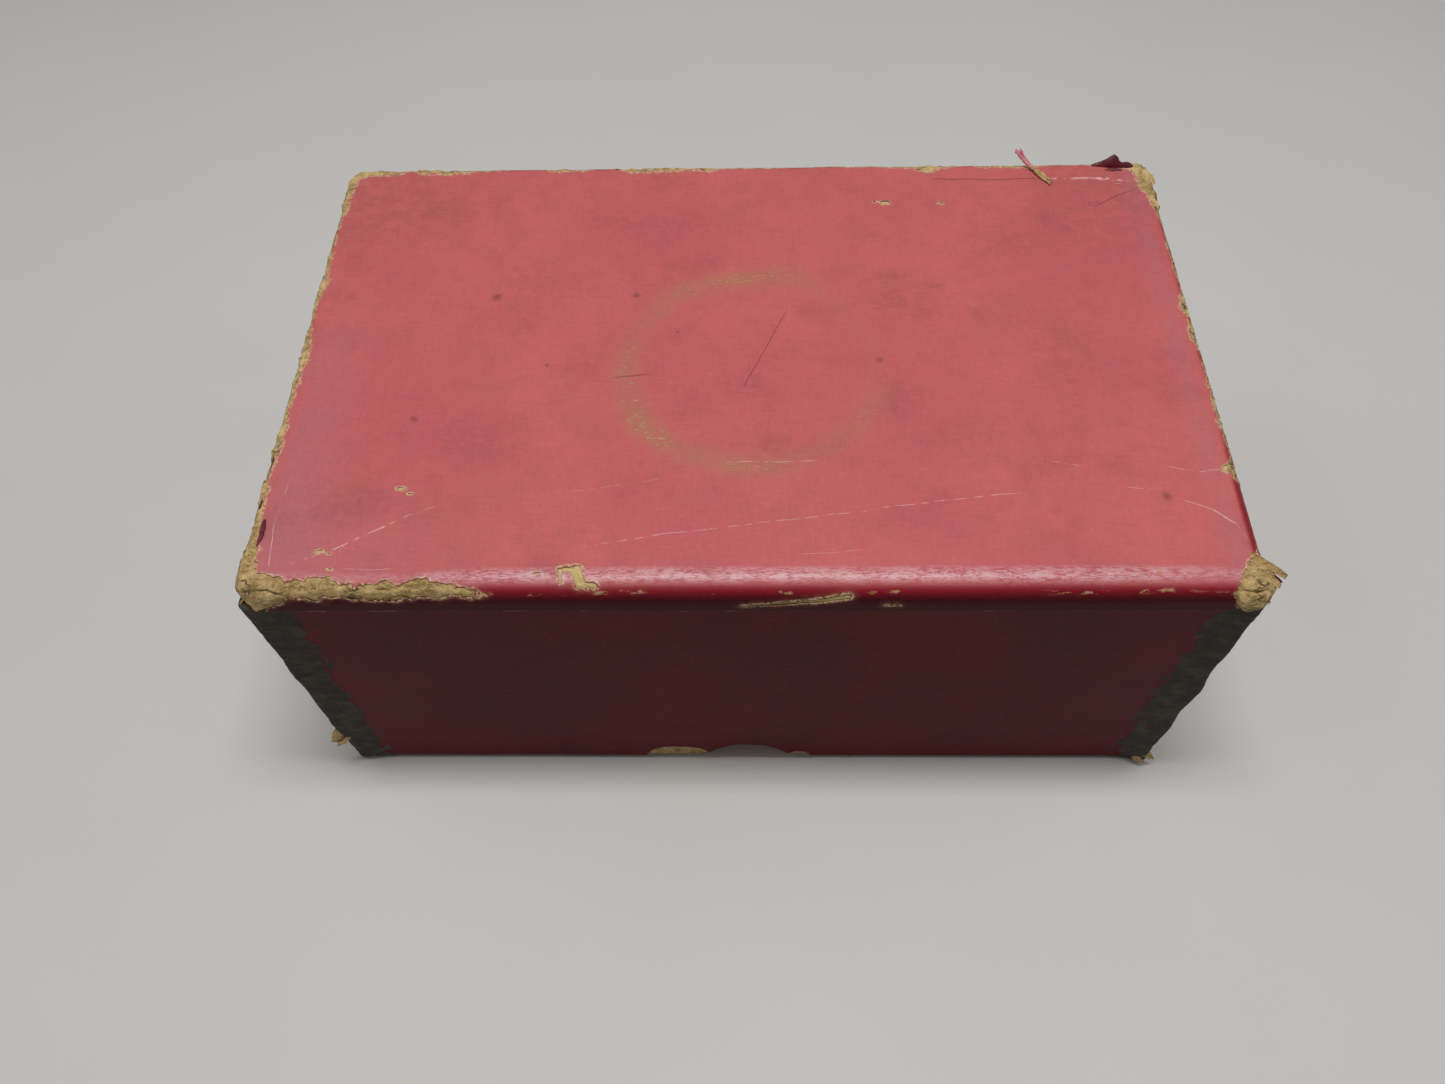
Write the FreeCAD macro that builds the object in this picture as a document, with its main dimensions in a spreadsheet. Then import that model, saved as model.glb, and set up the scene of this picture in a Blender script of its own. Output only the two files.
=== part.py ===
"""Jewellery case: a covered-board case with a deep slip-over lid, a base box and a lift-out ring tray.

Frame: +X along the width, +Y towards the back, +Z up, origin at the middle of the underside.
Millimetres. The lid stands over the base almost to the table, and has a thumb notch front and back.
Every board, sheet, strip, pad and ribbon is a solid of its own.
"""

import FreeCAD
import Part
import Sketcher

import os

DRIVING = {
    # the closed case
    "case_width": 178.0,
    "case_depth": 110.0,
    "case_height": 76.0,
    "corner_round": 3.0,
    "edge_round": 2.6,
    # sheet materials
    "board_thick": 2.4,
    "cover_thick": 0.4,
    "paper_thick": 0.4,
    "stay_thick": 0.3,
    "thin_stay": 0.2,
    "card_thick": 1.0,
    # lid
    "skirt_drop": 6.5,
    "rim_lift": 0.8,
    "turn_in": 9.0,
    "stay_leg": 8.0,
    "notch_radius": 10.0,
    "notch_rise": 7.0,
    "pad_margin": 6.4,
    "pad_thick": 5.0,
    "pad_round": 2.0,
    # base
    "slip_gap": 0.5,
    "rim_clear": 0.2,
    "sheet_clear": 0.2,
    "base_round": 2.4,
    "rest_thick": 2.0,
    "rest_height": 38.4,
    # tray
    "tray_clear": 0.5,
    "tray_seat": 0.1,
    "tray_height": 24.0,
    "tray_floor": 1.5,
    "tray_wall": 2.0,
    "divider_drop": 2.3,
    "divider_offset": 5.0,
    "bed_height": 6.2,
    "bed_clear": 0.2,
    "roll_radius": 5.8,
    "roll_pitch": 11.8,
    "roll_clear": 0.1,
    "pad_height": 2.5,
    "ribbon_width": 12.0,
    "ribbon_thick": 1.2,
    "ribbon_height": 16.0,
}
ROLLS = 6
FAR = "400"  # longer than the case, for cuts that run right through
OVER = "2"  # how far a cutting tool runs past what it cuts
TINY = 1e-6
START = 10  # half-size that a sketch is first drawn at, before its constraints set the real one

doc = FreeCAD.newDocument("jewellery_case")
sheet = doc.addObject("Spreadsheet::Sheet", "dims")
for row, (alias, value) in enumerate(DRIVING.items(), start=1):
    sheet.set(f"A{row}", alias)
    sheet.set(f"B{row}", str(value))
    sheet.setAlias(f"B{row}", alias)
doc.recompute()

# Sizes worked out from the driving cells, as expressions.
COVER, BOARD, PAPER = "dims.cover_thick", "dims.board_thick", "dims.paper_thick"
WIDTH, DEPTH, TOP = "dims.case_width", "dims.case_depth", "dims.case_height"
# lid: skirt, wall cover, board and lining, from the outside in
PANEL_W, PANEL_D = f"({WIDTH} - 2 * {COVER})", f"({DEPTH} - 2 * {COVER})"
SHELL_W, SHELL_D = f"({WIDTH} - 4 * {COVER})", f"({DEPTH} - 4 * {COVER})"
HOLLOW_W, HOLLOW_D = f"({SHELL_W} - 2 * {BOARD})", f"({SHELL_D} - 2 * {BOARD})"
CLEAR_W, CLEAR_D = f"({HOLLOW_W} - 2 * {COVER})", f"({HOLLOW_D} - 2 * {COVER})"
RIM_Z = "dims.rim_lift"
LID_BOARD_Z = f"({RIM_Z} + {COVER})"
TURN_Z = f"({RIM_Z} + dims.turn_in)"
CEILING_Z = f"({TOP} - {COVER} - {BOARD})"
LINED_Z = f"({CEILING_Z} - {COVER})"
STAY_INSET = "dims.stay_leg"
NOTCH_Z = f"({RIM_Z} + dims.notch_rise - dims.notch_radius)"
# base: cover, board and lining, from the outside in
BASE_W, BASE_D = f"({CLEAR_W} - 2 * dims.slip_gap)", f"({CLEAR_D} - 2 * dims.slip_gap)"
BOX_W, BOX_D = f"({BASE_W} - 2 * {PAPER})", f"({BASE_D} - 2 * {PAPER})"
WELL_W, WELL_D = f"({BOX_W} - 2 * {BOARD})", f"({BOX_D} - 2 * {BOARD})"
INSIDE_W, INSIDE_D = f"({WELL_W} - 2 * {PAPER})", f"({WELL_D} - 2 * {PAPER})"
BASE_TOP = f"({LINED_Z} - dims.rim_clear)"
BOX_TOP = f"({BASE_TOP} - {PAPER})"
BASE_TURN_Z = f"({BASE_TOP} - dims.turn_in)"
BASE_WALL_Z = f"({PAPER} + {BOARD})"
FLOOR_Z = f"({BASE_WALL_Z} + dims.card_thick)"
# tray
TRAY_W = f"({INSIDE_W} - 2 * dims.tray_clear)"
TRAY_D = f"({INSIDE_D} - 2 * dims.tray_clear)"
TRAY_Z = f"({FLOOR_Z} + dims.rest_height + dims.tray_seat)"
TRAY_FLOOR_Z = f"({TRAY_Z} + dims.tray_floor)"
TRAY_TOP = f"({TRAY_Z} + dims.tray_height)"
TRAY_IN_W = f"({TRAY_W} - 2 * dims.tray_wall)"
TRAY_IN_D = f"({TRAY_D} - 2 * dims.tray_wall)"

subparts = []


def keep(obj, label):
    """Makes obj the sub-part of that name."""
    obj.Label = label
    subparts.append(obj)
    return obj


def bind(obj, **expressions):
    """Binds properties of obj to expressions; a double underscore in a name stands for a dot."""
    for name, expression in expressions.items():
        obj.setExpression(name.replace("__", "."), expression)
    return obj


def place(obj, x="0", y="0", z="0"):
    return bind(obj, Placement__Base__x=x, Placement__Base__y=y, Placement__Base__z=z)


def block(name, size, low):
    """A plain box from its size and its lowest corner."""
    obj = doc.addObject("Part::Box", name)
    bind(obj, Length=size[0], Width=size[1], Height=size[2])
    return place(obj, *low)


def centred_block(name, size, low_z, x="0", y="0"):
    """A plain box centred on x and y."""
    return block(name, size, (f"{x} - {size[0]} / 2", f"{y} - {size[1]} / 2", low_z))


def fused(name, parts):
    obj = doc.addObject("Part::MultiFuse", name)
    obj.Shapes = parts
    return obj


def cut(name, base, tool):
    obj = doc.addObject("Part::Cut", name)
    obj.Base, obj.Tool = base, tool
    return obj


def origin_plane(body, role):
    return next(o for o in body.Origin.OriginFeatures if o.Role == role)


def sketch_on(body, role, name):
    sketch = body.newObject("Sketcher::SketchObject", name)
    sketch.AttachmentSupport = [(origin_plane(body, role), "")]
    sketch.MapMode = "FlatFace"
    return sketch


def rectangle(sketch, across, up, centred):
    """Draws a constrained rectangle, centred on the origin or standing on the horizontal axis."""
    low, high = (-START, START) if centred else (0, 2 * START)
    places = ((-START, low), (START, low), (START, high), (-START, high))
    corners = [FreeCAD.Vector(x, y, 0) for x, y in places]
    for i in range(4):
        sketch.addGeometry(Part.LineSegment(corners[i], corners[(i + 1) % 4]), False)
    for i in range(4):
        sketch.addConstraint(Sketcher.Constraint("Coincident", i, 2, (i + 1) % 4, 1))
    for i, kind in enumerate(("Horizontal", "Vertical", "Horizontal", "Vertical")):
        sketch.addConstraint(Sketcher.Constraint(kind, i))
    if centred:
        sketch.addConstraint(Sketcher.Constraint("Symmetric", 0, 1, 2, 1, -1, 1))
    else:
        sketch.addConstraint(Sketcher.Constraint("Symmetric", 0, 1, 0, 2, -1, 1))
    for name, line, axis, expression in (("across", 0, "DistanceX", across), ("up", 1, "DistanceY", up)):
        index = sketch.addConstraint(Sketcher.Constraint(axis, line, 1, line, 2, 2 * START))
        sketch.renameConstraint(index, name)
        sketch.setExpression(f"Constraints.{name}", expression)


def fillet(body, base, name, wanted, radius):
    """Rounds the edges of base that wanted picks out."""
    doc.recompute()
    obj = body.newObject("PartDesign::Fillet", name)
    names = [f"Edge{i}" for i, edge in enumerate(base.Shape.Edges, start=1) if wanted(edge)]
    obj.Base = (base, names)
    obj.setExpression("Radius", radius)
    body.Tip = obj
    return obj


def is_upright(edge):
    box = edge.BoundBox
    return box.ZLength > 0.1 and box.XLength < TINY and box.YLength < TINY


def at_y(edge, y):
    return abs(edge.BoundBox.YMin - y) < TINY and abs(edge.BoundBox.YMax - y) < TINY


def slab(name, size, low_z, corner, top_round=None):
    """A centred slab with rounded upright corners and, if asked, rounded top edges."""
    body = doc.addObject("PartDesign::Body", name)
    outline = sketch_on(body, "XY_Plane", name + "_outline")
    rectangle(outline, size[0], size[1], centred=True)
    pad = body.newObject("PartDesign::Pad", name + "_pad")
    pad.Profile = outline
    pad.setExpression("Length", size[2])
    last = fillet(body, pad, name + "_corners", is_upright, corner)
    if top_round:
        doc.recompute()
        top = last.Shape.BoundBox.ZMax
        fillet(body, last, name + "_edges", lambda e: e.BoundBox.ZMin > top - TINY, top_round)
    return place(body, z=low_z)


def notched_board(label, width, height, side, y, low_z):
    """An upright board with a half-moon thumb notch in its lower edge and rounded outer corners.

    side is -1 where its outer face looks to the front and 1 where it looks to the back.
    """
    body = doc.addObject("PartDesign::Body", label + "_body")
    outline = sketch_on(body, "XZ_Plane", label + "_outline")
    rectangle(outline, width, height, centred=False)
    pad = body.newObject("PartDesign::Pad", label + "_pad")
    pad.Profile = outline
    pad.Midplane = True
    pad.setExpression("Length", BOARD)
    doc.recompute()
    notch = sketch_on(body, "XZ_Plane", label + "_notch")
    circle = Part.Circle(FreeCAD.Vector(0, -START / 2, 0), FreeCAD.Vector(0, 0, 1), START)
    notch.addGeometry(circle, False)
    notch.addConstraint(Sketcher.Constraint("PointOnObject", 0, 3, -2))
    radius = notch.addConstraint(Sketcher.Constraint("Radius", 0, START))
    notch.renameConstraint(radius, "radius")
    notch.setExpression("Constraints.radius", "dims.notch_radius")
    drop = notch.addConstraint(Sketcher.Constraint("DistanceY", 0, 3, -1, 1, START / 2))
    notch.renameConstraint(drop, "drop")
    notch.setExpression("Constraints.drop", f"{low_z} - {NOTCH_Z}")
    pocket = body.newObject("PartDesign::Pocket", label + "_pocket")
    pocket.Profile = notch
    pocket.Type = 1  # right through
    pocket.Midplane = True
    doc.recompute()
    if pocket.Shape.Volume > pad.Shape.Volume - 1:
        raise RuntimeError(f"the notch in {label} cuts nothing")
    box = pocket.Shape.BoundBox
    outer_y = box.YMin if side < 0 else box.YMax

    def wanted(edge):
        return is_upright(edge) and at_y(edge, outer_y)

    fillet(body, pocket, label + "_corners", wanted, f"dims.corner_round - 2 * {COVER}")
    return keep(place(body, y=y, z=low_z), label)


def rounded_wall(label, width, height, side, y, low_z):
    """An upright board along X with rounded outer corners; side is as in notched_board."""
    body = doc.addObject("PartDesign::Body", label + "_body")
    outline = sketch_on(body, "XY_Plane", label + "_outline")
    rectangle(outline, width, BOARD, centred=False)
    pad = body.newObject("PartDesign::Pad", label + "_pad")
    pad.Profile = outline
    pad.setExpression("Length", height)
    doc.recompute()
    box = pad.Shape.BoundBox
    outer_y = box.YMin if side < 0 else box.YMax

    def wanted(edge):
        return is_upright(edge) and at_y(edge, outer_y)

    fillet(body, pad, label + "_corners", wanted, f"dims.base_round - {PAPER}")
    return keep(place(body, y=y, z=low_z), label)


def bar_along_y(name, radius, length, low):
    """A round bar lying along Y, from the middle of its front end."""
    obj = doc.addObject("Part::Cylinder", name)
    obj.Placement.Rotation = FreeCAD.Rotation(FreeCAD.Vector(1, 0, 0), -90)
    bind(obj, Radius=radius, Height=length)
    return place(obj, *low)


def corner_stays(label, outer, inner, low_z, height, outer_round, inner_round, leg):
    """Four L-shaped tape strips that wrap the upright corners."""
    wrap = cut(
        label + "_wrap",
        slab(label + "_outer", (*outer, height), low_z, outer_round),
        slab(label + "_inner", (*inner, height), low_z, inner_round),
    )
    windows = []
    for i, (sx, sy) in enumerate(((-1, -1), (1, -1), (1, 1), (-1, 1))):
        x = f"{outer[0]} / 2 - {leg}" if sx > 0 else f"-{outer[0]} / 2 - 1"
        y = f"{outer[1]} / 2 - {leg}" if sy > 0 else f"-{outer[1]} / 2 - 1"
        windows.append(block(f"{label}_window_{i}", (f"{leg} + 1", f"{leg} + 1", height), (x, y, low_z)))
    stays = doc.addObject("Part::Common", label + "_strips")
    stays.Base, stays.Tool = wrap, fused(label + "_windows", windows)
    return keep(stays, label)


def wall_cover(label, along_x, side):
    """One wall's covering: up the outside, round the lower rim and a little way up the inside."""
    length = f"({PANEL_W if along_x else PANEL_D} - 2 * {STAY_INSET})"
    outside = PANEL_D if along_x else PANEL_W
    inside = CLEAR_D if along_x else CLEAR_W
    board_out = SHELL_D if along_x else SHELL_W
    board_in = HOLLOW_D if along_x else HOLLOW_W

    def layer(name, far, near, low_z, high_z, run=length):
        """A slice of the wall between two distances from the middle, on this cover's side."""
        thick = f"({far} - {near}) / 2"
        across = f"{near} / 2" if side > 0 else f"-{far} / 2"
        size = (run, thick, f"{high_z} - {low_z}")
        low = (f"-{run} / 2", across, low_z)
        if not along_x:
            size, low = (thick, run, size[2]), (across, low[0], low_z)
        return block(f"{label}_{name}", size, low)

    whole = layer("whole", outside, inside, RIM_Z, CEILING_Z)
    longer = f"({length} + {OVER})"
    above = f"({CEILING_Z} + {OVER})"
    tools = [
        layer("board_slot", board_out, board_in, LID_BOARD_Z, above, longer),
        layer("above_turn_in", board_in, f"({inside} - {OVER})", TURN_Z, above, longer),
    ]
    if along_x:
        low = ("0", f"-{FAR} / 2", NOTCH_Z)
        tools.append(bar_along_y(label + "_notch", "dims.notch_radius", FAR, low))
    return keep(cut(label + "_cut", whole, fused(label + "_tools", tools)), label)


def make_lid():
    panel = (PANEL_W, PANEL_D)
    panel_round, board_round = f"dims.corner_round - {COVER}", f"dims.corner_round - 2 * {COVER}"
    board_edge = f"dims.edge_round - {COVER}"
    keep(slab("lid_top_body", (*panel, BOARD), CEILING_Z, panel_round, board_edge), "lid_top_board")
    wall_h = f"({CEILING_Z} - {LID_BOARD_Z})"
    for name, side in (("front", -1), ("back", 1)):
        middle = f"{side} * ({SHELL_D} - {BOARD}) / 2"
        notched_board(f"lid_{name}_board", SHELL_W, wall_h, side, middle, LID_BOARD_Z)
    for name, low_x in (("left", f"-{SHELL_W} / 2"), ("right", f"{HOLLOW_W} / 2")):
        low = (low_x, f"-{HOLLOW_D} / 2", LID_BOARD_Z)
        keep(block(f"lid_{name}_box", (BOARD, HOLLOW_D, wall_h), low), f"lid_{name}_board")
    stay_w = (f"({SHELL_W} + 2 * dims.stay_thick)", f"({SHELL_D} + 2 * dims.stay_thick)")
    corner_stays(
        "lid_corner_stays", stay_w, (SHELL_W, SHELL_D), LID_BOARD_Z, wall_h,
        f"{board_round} + dims.stay_thick", board_round,
        f"({STAY_INSET} - {COVER} + dims.stay_thick)",
    )
    skin_h = "dims.skirt_drop"
    skin_z = f"{TOP} - {skin_h}"
    outer_round = ("dims.corner_round", "dims.edge_round")
    outer = slab("top_cover_outer", (WIDTH, DEPTH, skin_h), skin_z, *outer_round)
    inner_size = (*panel, f"({skin_h} - {COVER})")
    inner = slab("top_cover_inner", inner_size, skin_z, panel_round, board_edge)
    keep(cut("top_cover_cut", outer, inner), "lid_top_cover")
    walls = (("front", True, -1), ("back", True, 1), ("left", False, -1), ("right", False, 1))
    for name, along_x, side in walls:
        wall_cover(f"lid_{name}_cover", along_x, side)
    lining_h = f"({CEILING_Z} - {TURN_Z})"
    lined = cut(
        "lid_lining_cut",
        centred_block("lid_lining_outer", (HOLLOW_W, HOLLOW_D, lining_h), TURN_Z),
        centred_block("lid_lining_inner", (CLEAR_W, CLEAR_D, f"({lining_h} - {COVER})"), TURN_Z),
    )
    keep(lined, "lid_lining")
    pad_w, pad_d = f"({CLEAR_W} - 2 * dims.pad_margin)", f"({CLEAR_D} - 2 * dims.pad_margin)"
    card_z = f"({LINED_Z} - dims.card_thick)"
    keep(centred_block("lid_pad_card_box", (pad_w, pad_d, "dims.card_thick"), card_z), "lid_pad_card")
    pad_z = f"{card_z} - dims.pad_thick"
    pad = slab("lid_pad_body", (pad_w, pad_d, "dims.pad_thick"), pad_z, "dims.pad_round")
    keep(pad, "lid_pad")


def make_base():
    box_round = f"dims.base_round - {PAPER}"
    bottom = slab("base_bottom_body", (BOX_W, BOX_D, BOARD), PAPER, box_round)
    keep(bottom, "base_bottom_board")
    wall_h = f"({BOX_TOP} - {BASE_WALL_Z})"
    for name, low_y, side in (("front", f"-{BOX_D} / 2", -1), ("back", f"{WELL_D} / 2", 1)):
        rounded_wall(f"base_{name}_board", BOX_W, wall_h, side, low_y, BASE_WALL_Z)
    for name, low_x in (("left", f"-{BOX_W} / 2"), ("right", f"{WELL_W} / 2")):
        low = (low_x, f"-{WELL_D} / 2", BASE_WALL_Z)
        keep(block(f"base_{name}_box", (BOARD, WELL_D, wall_h), low), f"base_{name}_board")
    stay = "dims.thin_stay"
    stays = corner_stays(
        "base_corner_stays", (f"({BOX_W} + 2 * {stay})", f"({BOX_D} + 2 * {stay})"), (BOX_W, BOX_D),
        PAPER, f"({BOX_TOP} - {PAPER})", f"{box_round} + {stay}", box_round, "dims.stay_leg",
    )
    make_base_cover(box_round, stays)
    under = (f"({BASE_W} - 2 * dims.turn_in - 2 * dims.sheet_clear)",
             f"({BASE_D} - 2 * dims.turn_in - 2 * dims.sheet_clear)", PAPER)
    keep(centred_block("base_bottom_sheet", under, "0"), "base_bottom_cover")
    lining_h = f"({BASE_TURN_Z} - {BASE_WALL_Z})"
    lining = cut(
        "base_lining_cut",
        centred_block("base_lining_outer", (WELL_W, WELL_D, lining_h), BASE_WALL_Z),
        centred_block("base_lining_inner", (INSIDE_W, INSIDE_D, lining_h), BASE_WALL_Z),
    )
    keep(lining, "base_lining")
    clear = "2 * dims.sheet_clear"
    floor = (f"({INSIDE_W} - {clear})", f"({INSIDE_D} - {clear})", "dims.card_thick")
    keep(centred_block("base_floor_box", floor, BASE_WALL_Z), "base_floor_card")
    make_tray_rests()


def make_base_cover(box_round, stays):
    """Paper round the base's walls, turned under the bottom and over the rim."""
    outer = slab("base_cover_outer", (BASE_W, BASE_D, BASE_TOP), "0", "dims.base_round")
    below = slab("base_cover_box", (BOX_W, BOX_D, f"({BASE_TURN_Z} - {PAPER})"), PAPER, box_round)
    upper_h = f"({BOX_TOP} - {BASE_TURN_Z})"
    boards = cut(
        "base_cover_boards",
        slab("base_cover_ring", (BOX_W, BOX_D, upper_h), BASE_TURN_Z, box_round),
        centred_block("base_cover_core", (WELL_W, WELL_D, upper_h), BASE_TURN_Z),
    )
    mouth_size = (INSIDE_W, INSIDE_D, f"(dims.turn_in + {OVER})")
    mouth = centred_block("base_cover_mouth", mouth_size, BASE_TURN_Z)
    window = (f"({BASE_W} - 2 * dims.turn_in)", f"({BASE_D} - 2 * dims.turn_in)", f"(2 * {OVER})")
    under = centred_block("base_cover_under", window, f"-{OVER}")
    tools = fused("base_cover_tools", [below, boards, mouth, under])
    keep(cut("base_cover_stayed", cut("base_cover_cut", outer, tools), stays), "base_wall_cover")


def make_tray_rests():
    """Upright strips glued inside the walls; the tray stands on their top edges."""
    thick, high = "dims.rest_thick", "dims.rest_height"
    run_w, run_d = f"({INSIDE_W} - 2 * dims.sheet_clear)", f"({INSIDE_D} - 2 * dims.sheet_clear)"
    for name, low_y in (("front", f"-{run_d} / 2"), ("back", f"{run_d} / 2 - {thick}")):
        strip = block(f"rest_{name}", (run_w, thick, high), (f"-{run_w} / 2", low_y, FLOOR_Z))
        keep(strip, f"tray_rest_{name}")
    between = f"({run_d} - 2 * {thick})"
    for name, low_x in (("left", f"-{run_w} / 2"), ("right", f"{run_w} / 2 - {thick}")):
        strip = block(f"rest_{name}", (thick, between, high), (low_x, f"-{between} / 2", FLOOR_Z))
        keep(strip, f"tray_rest_{name}")


def make_tray():
    wall, wall_h = "dims.tray_wall", f"({TRAY_TOP} - {TRAY_FLOOR_Z})"
    bottom = centred_block("tray_bottom_box", (TRAY_W, TRAY_D, "dims.tray_floor"), TRAY_Z)
    keep(bottom, "tray_bottom_board")
    for name, low_y in (("front", f"-{TRAY_D} / 2"), ("back", f"{TRAY_IN_D} / 2")):
        low = (f"-{TRAY_W} / 2", low_y, TRAY_FLOOR_Z)
        keep(block(f"tray_{name}_box", (TRAY_W, wall, wall_h), low), f"tray_{name}_wall")
    for name, low_x in (("left", f"-{TRAY_W} / 2"), ("right", f"{TRAY_IN_W} / 2")):
        low = (low_x, f"-{TRAY_IN_D} / 2", TRAY_FLOOR_Z)
        keep(block(f"tray_{name}_box", (wall, TRAY_IN_D, wall_h), low), f"tray_{name}_wall")
    divider_h = f"({wall_h} - dims.divider_drop)"
    cross_x = "(0 - dims.divider_offset)"
    cross = centred_block("cross_box", (wall, TRAY_IN_D, divider_h), TRAY_FLOOR_Z, x=cross_x)
    keep(cross, "tray_cross_divider")
    open_x = f"({cross_x} + {wall} / 2)"
    run = f"({TRAY_IN_W} / 2 - {open_x})"
    long = block("long_box", (run, wall, divider_h), (open_x, f"-{wall} / 2", TRAY_FLOOR_Z))
    keep(long, "tray_long_divider")
    make_ring_rolls(f"({cross_x} - {wall} / 2)")
    make_compartments(open_x, run)


def make_ring_rolls(right_x):
    """A bed with a row of padded rolls on it, from the cross divider to the left wall's ribbon."""
    gap = "dims.bed_clear"
    bed_w = f"({ROLLS} * dims.roll_pitch)"
    bed_d = f"({TRAY_IN_D} - 2 * {gap})"
    low_x = f"({right_x} - {gap} - {bed_w})"
    bed = block("bed_box", (bed_w, bed_d, "dims.bed_height"), (low_x, f"-{bed_d} / 2", TRAY_FLOOR_Z))
    keep(bed, "ring_roll_bed")
    centre_z = f"{TRAY_FLOOR_Z} + dims.bed_height + dims.roll_radius + dims.roll_clear"
    for i in range(ROLLS):
        centre_x = f"{low_x} + {i + 0.5} * dims.roll_pitch"
        low = (centre_x, f"-{bed_d} / 2", centre_z)
        keep(bar_along_y(f"roll_{i + 1}_bar", "dims.roll_radius", bed_d, low), f"ring_roll_{i + 1}")


def make_compartments(open_x, run):
    """The two open compartments' floor pads, and a ribbon at each end to lift the tray by."""
    gap, half = "dims.bed_clear", f"({TRAY_IN_D} / 2 - dims.tray_wall / 2)"
    pad_w, pad_d = f"({run} - 2 * {gap} - dims.ribbon_thick)", f"({half} - 2 * {gap})"
    for name, low_y in (("front", f"-{TRAY_IN_D} / 2 + {gap}"), ("back", f"dims.tray_wall / 2 + {gap}")):
        low = (f"{open_x} + {gap}", low_y, TRAY_FLOOR_Z)
        keep(block(f"pad_{name}_box", (pad_w, pad_d, "dims.pad_height"), low), f"compartment_pad_{name}")
    thick, wide, high = "dims.ribbon_thick", "dims.ribbon_width", "dims.ribbon_height"
    low_z = f"{TRAY_TOP} - {high} - {gap}"
    ends = (
        ("left", f"-{TRAY_IN_W} / 2", "0"),
        ("right", f"{TRAY_IN_W} / 2 - {thick}", f"{TRAY_IN_D} / 4"),  # clear of the long divider
    )
    for name, low_x, middle_y in ends:
        low = (low_x, f"{middle_y} - {wide} / 2", low_z)
        keep(block(f"ribbon_{name}_box", (thick, wide, high), low), f"ribbon_pull_{name}")


def check(obj):
    if obj.Shape.isNull() or not obj.Shape.isValid() or not obj.Shape.Solids:
        raise RuntimeError(f"{obj.Label} has no valid solid")


make_lid()
make_base()
make_tray()
doc.recompute()
failed = [o.Label for o in doc.Objects if {"Invalid", "Error"} & set(o.State)]
if failed:
    raise RuntimeError(f"these objects failed: {failed}")
os.makedirs("parts", exist_ok=True)
for obj in subparts:
    check(obj)
    box = obj.Shape.BoundBox
    obj.Shape.exportStep(f"parts/{obj.Label}.step")
    low = " ".join(f"{value:7.2f}" for value in (box.XMin, box.YMin, box.ZMin))
    high = " ".join(f"{value:7.2f}" for value in (box.XMax, box.YMax, box.ZMax))
    volume = obj.Shape.Volume / 1000
    print(f"{obj.Label:22s} {len(obj.Shape.Solids)} solids {volume:8.3f} cm3  from {low}  to {high}")
print(len(subparts), "sub-parts")
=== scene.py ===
"""Looks for the covered-board jewellery case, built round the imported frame.

Lengths are in millimetres until a mesh is made. The red covering is a set of thin sheets that are cut away
where they are worn, so the pulp board shows through real holes with ragged edges.
"""

import math

import bpy
import numpy as np
from mathutils import Matrix, Vector
from mathutils.geometry import delaunay_2d_cdt


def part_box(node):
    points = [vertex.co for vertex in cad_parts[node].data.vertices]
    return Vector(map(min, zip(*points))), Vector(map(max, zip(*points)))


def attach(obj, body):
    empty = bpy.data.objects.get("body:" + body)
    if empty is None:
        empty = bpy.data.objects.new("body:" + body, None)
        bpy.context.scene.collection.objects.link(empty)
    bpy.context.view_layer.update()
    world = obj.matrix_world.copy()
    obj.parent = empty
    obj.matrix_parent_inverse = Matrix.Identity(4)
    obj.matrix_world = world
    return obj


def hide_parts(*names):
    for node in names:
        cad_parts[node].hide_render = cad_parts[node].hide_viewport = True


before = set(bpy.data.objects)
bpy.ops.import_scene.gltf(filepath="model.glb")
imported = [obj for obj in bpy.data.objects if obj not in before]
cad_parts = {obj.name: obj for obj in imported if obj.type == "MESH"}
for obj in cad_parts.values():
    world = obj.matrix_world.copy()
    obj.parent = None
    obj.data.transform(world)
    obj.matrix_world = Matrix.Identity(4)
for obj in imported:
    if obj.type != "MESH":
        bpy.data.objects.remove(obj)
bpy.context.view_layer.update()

MM = 0.001
QUARTER = math.pi / 2


# ---------------------------------------------------------------- noise

def lattice(cell, seed):
    """A random number from 0 to 1 for each whole-number cell."""
    n = (cell[..., 0] * 73856093) ^ (cell[..., 1] * 19349663) ^ (cell[..., 2] * 83492791)
    n = (n ^ (seed * 1013904223)) & 0xFFFFFFFF
    n = ((n ^ (n >> 15)) * 2246822519) & 0xFFFFFFFF
    n = ((n ^ (n >> 13)) * 3266489917) & 0xFFFFFFFF
    return (n ^ (n >> 16)) / 0xFFFFFFFF


def noise(points, cell, seed):
    """Smooth noise from -1 to 1; cell is the size of its blobs, one number or one per axis."""
    q = points / np.asarray(cell, float)
    low = np.floor(q).astype(np.int64)
    f = q - low
    f = f * f * (3 - 2 * f)
    total = np.zeros(len(points))
    for corner in np.ndindex(2, 2, 2):
        x, y, z = np.where(corner, f, 1 - f).T
        total += x * y * z * lattice(low + corner, seed)
    return 2 * total - 1


def fbm(points, cell, octaves, seed):
    """Several sizes of noise added up, from -1 to 1."""
    cell = np.asarray(cell, float)
    total, size = np.zeros(len(points)), 0.0
    for k in range(octaves):
        total += noise(points + 17.3 * k, cell / 2**k, seed + 31 * k) * 0.5**k
        size += 0.5**k
    return total / size


def smooth(low, high, x):
    """A smooth step from 0 at low to 1 at high."""
    t = np.clip((x - low) / (high - low), 0, 1)
    return t * t * (3 - 2 * t)


def pairs(first, second, indexing="xy"):
    """Every pair of two lists' values, as two flat arrays."""
    return [grid.ravel() for grid in np.meshgrid(first, second, indexing=indexing)]


# ---------------------------------------------------------------- meshes

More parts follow.
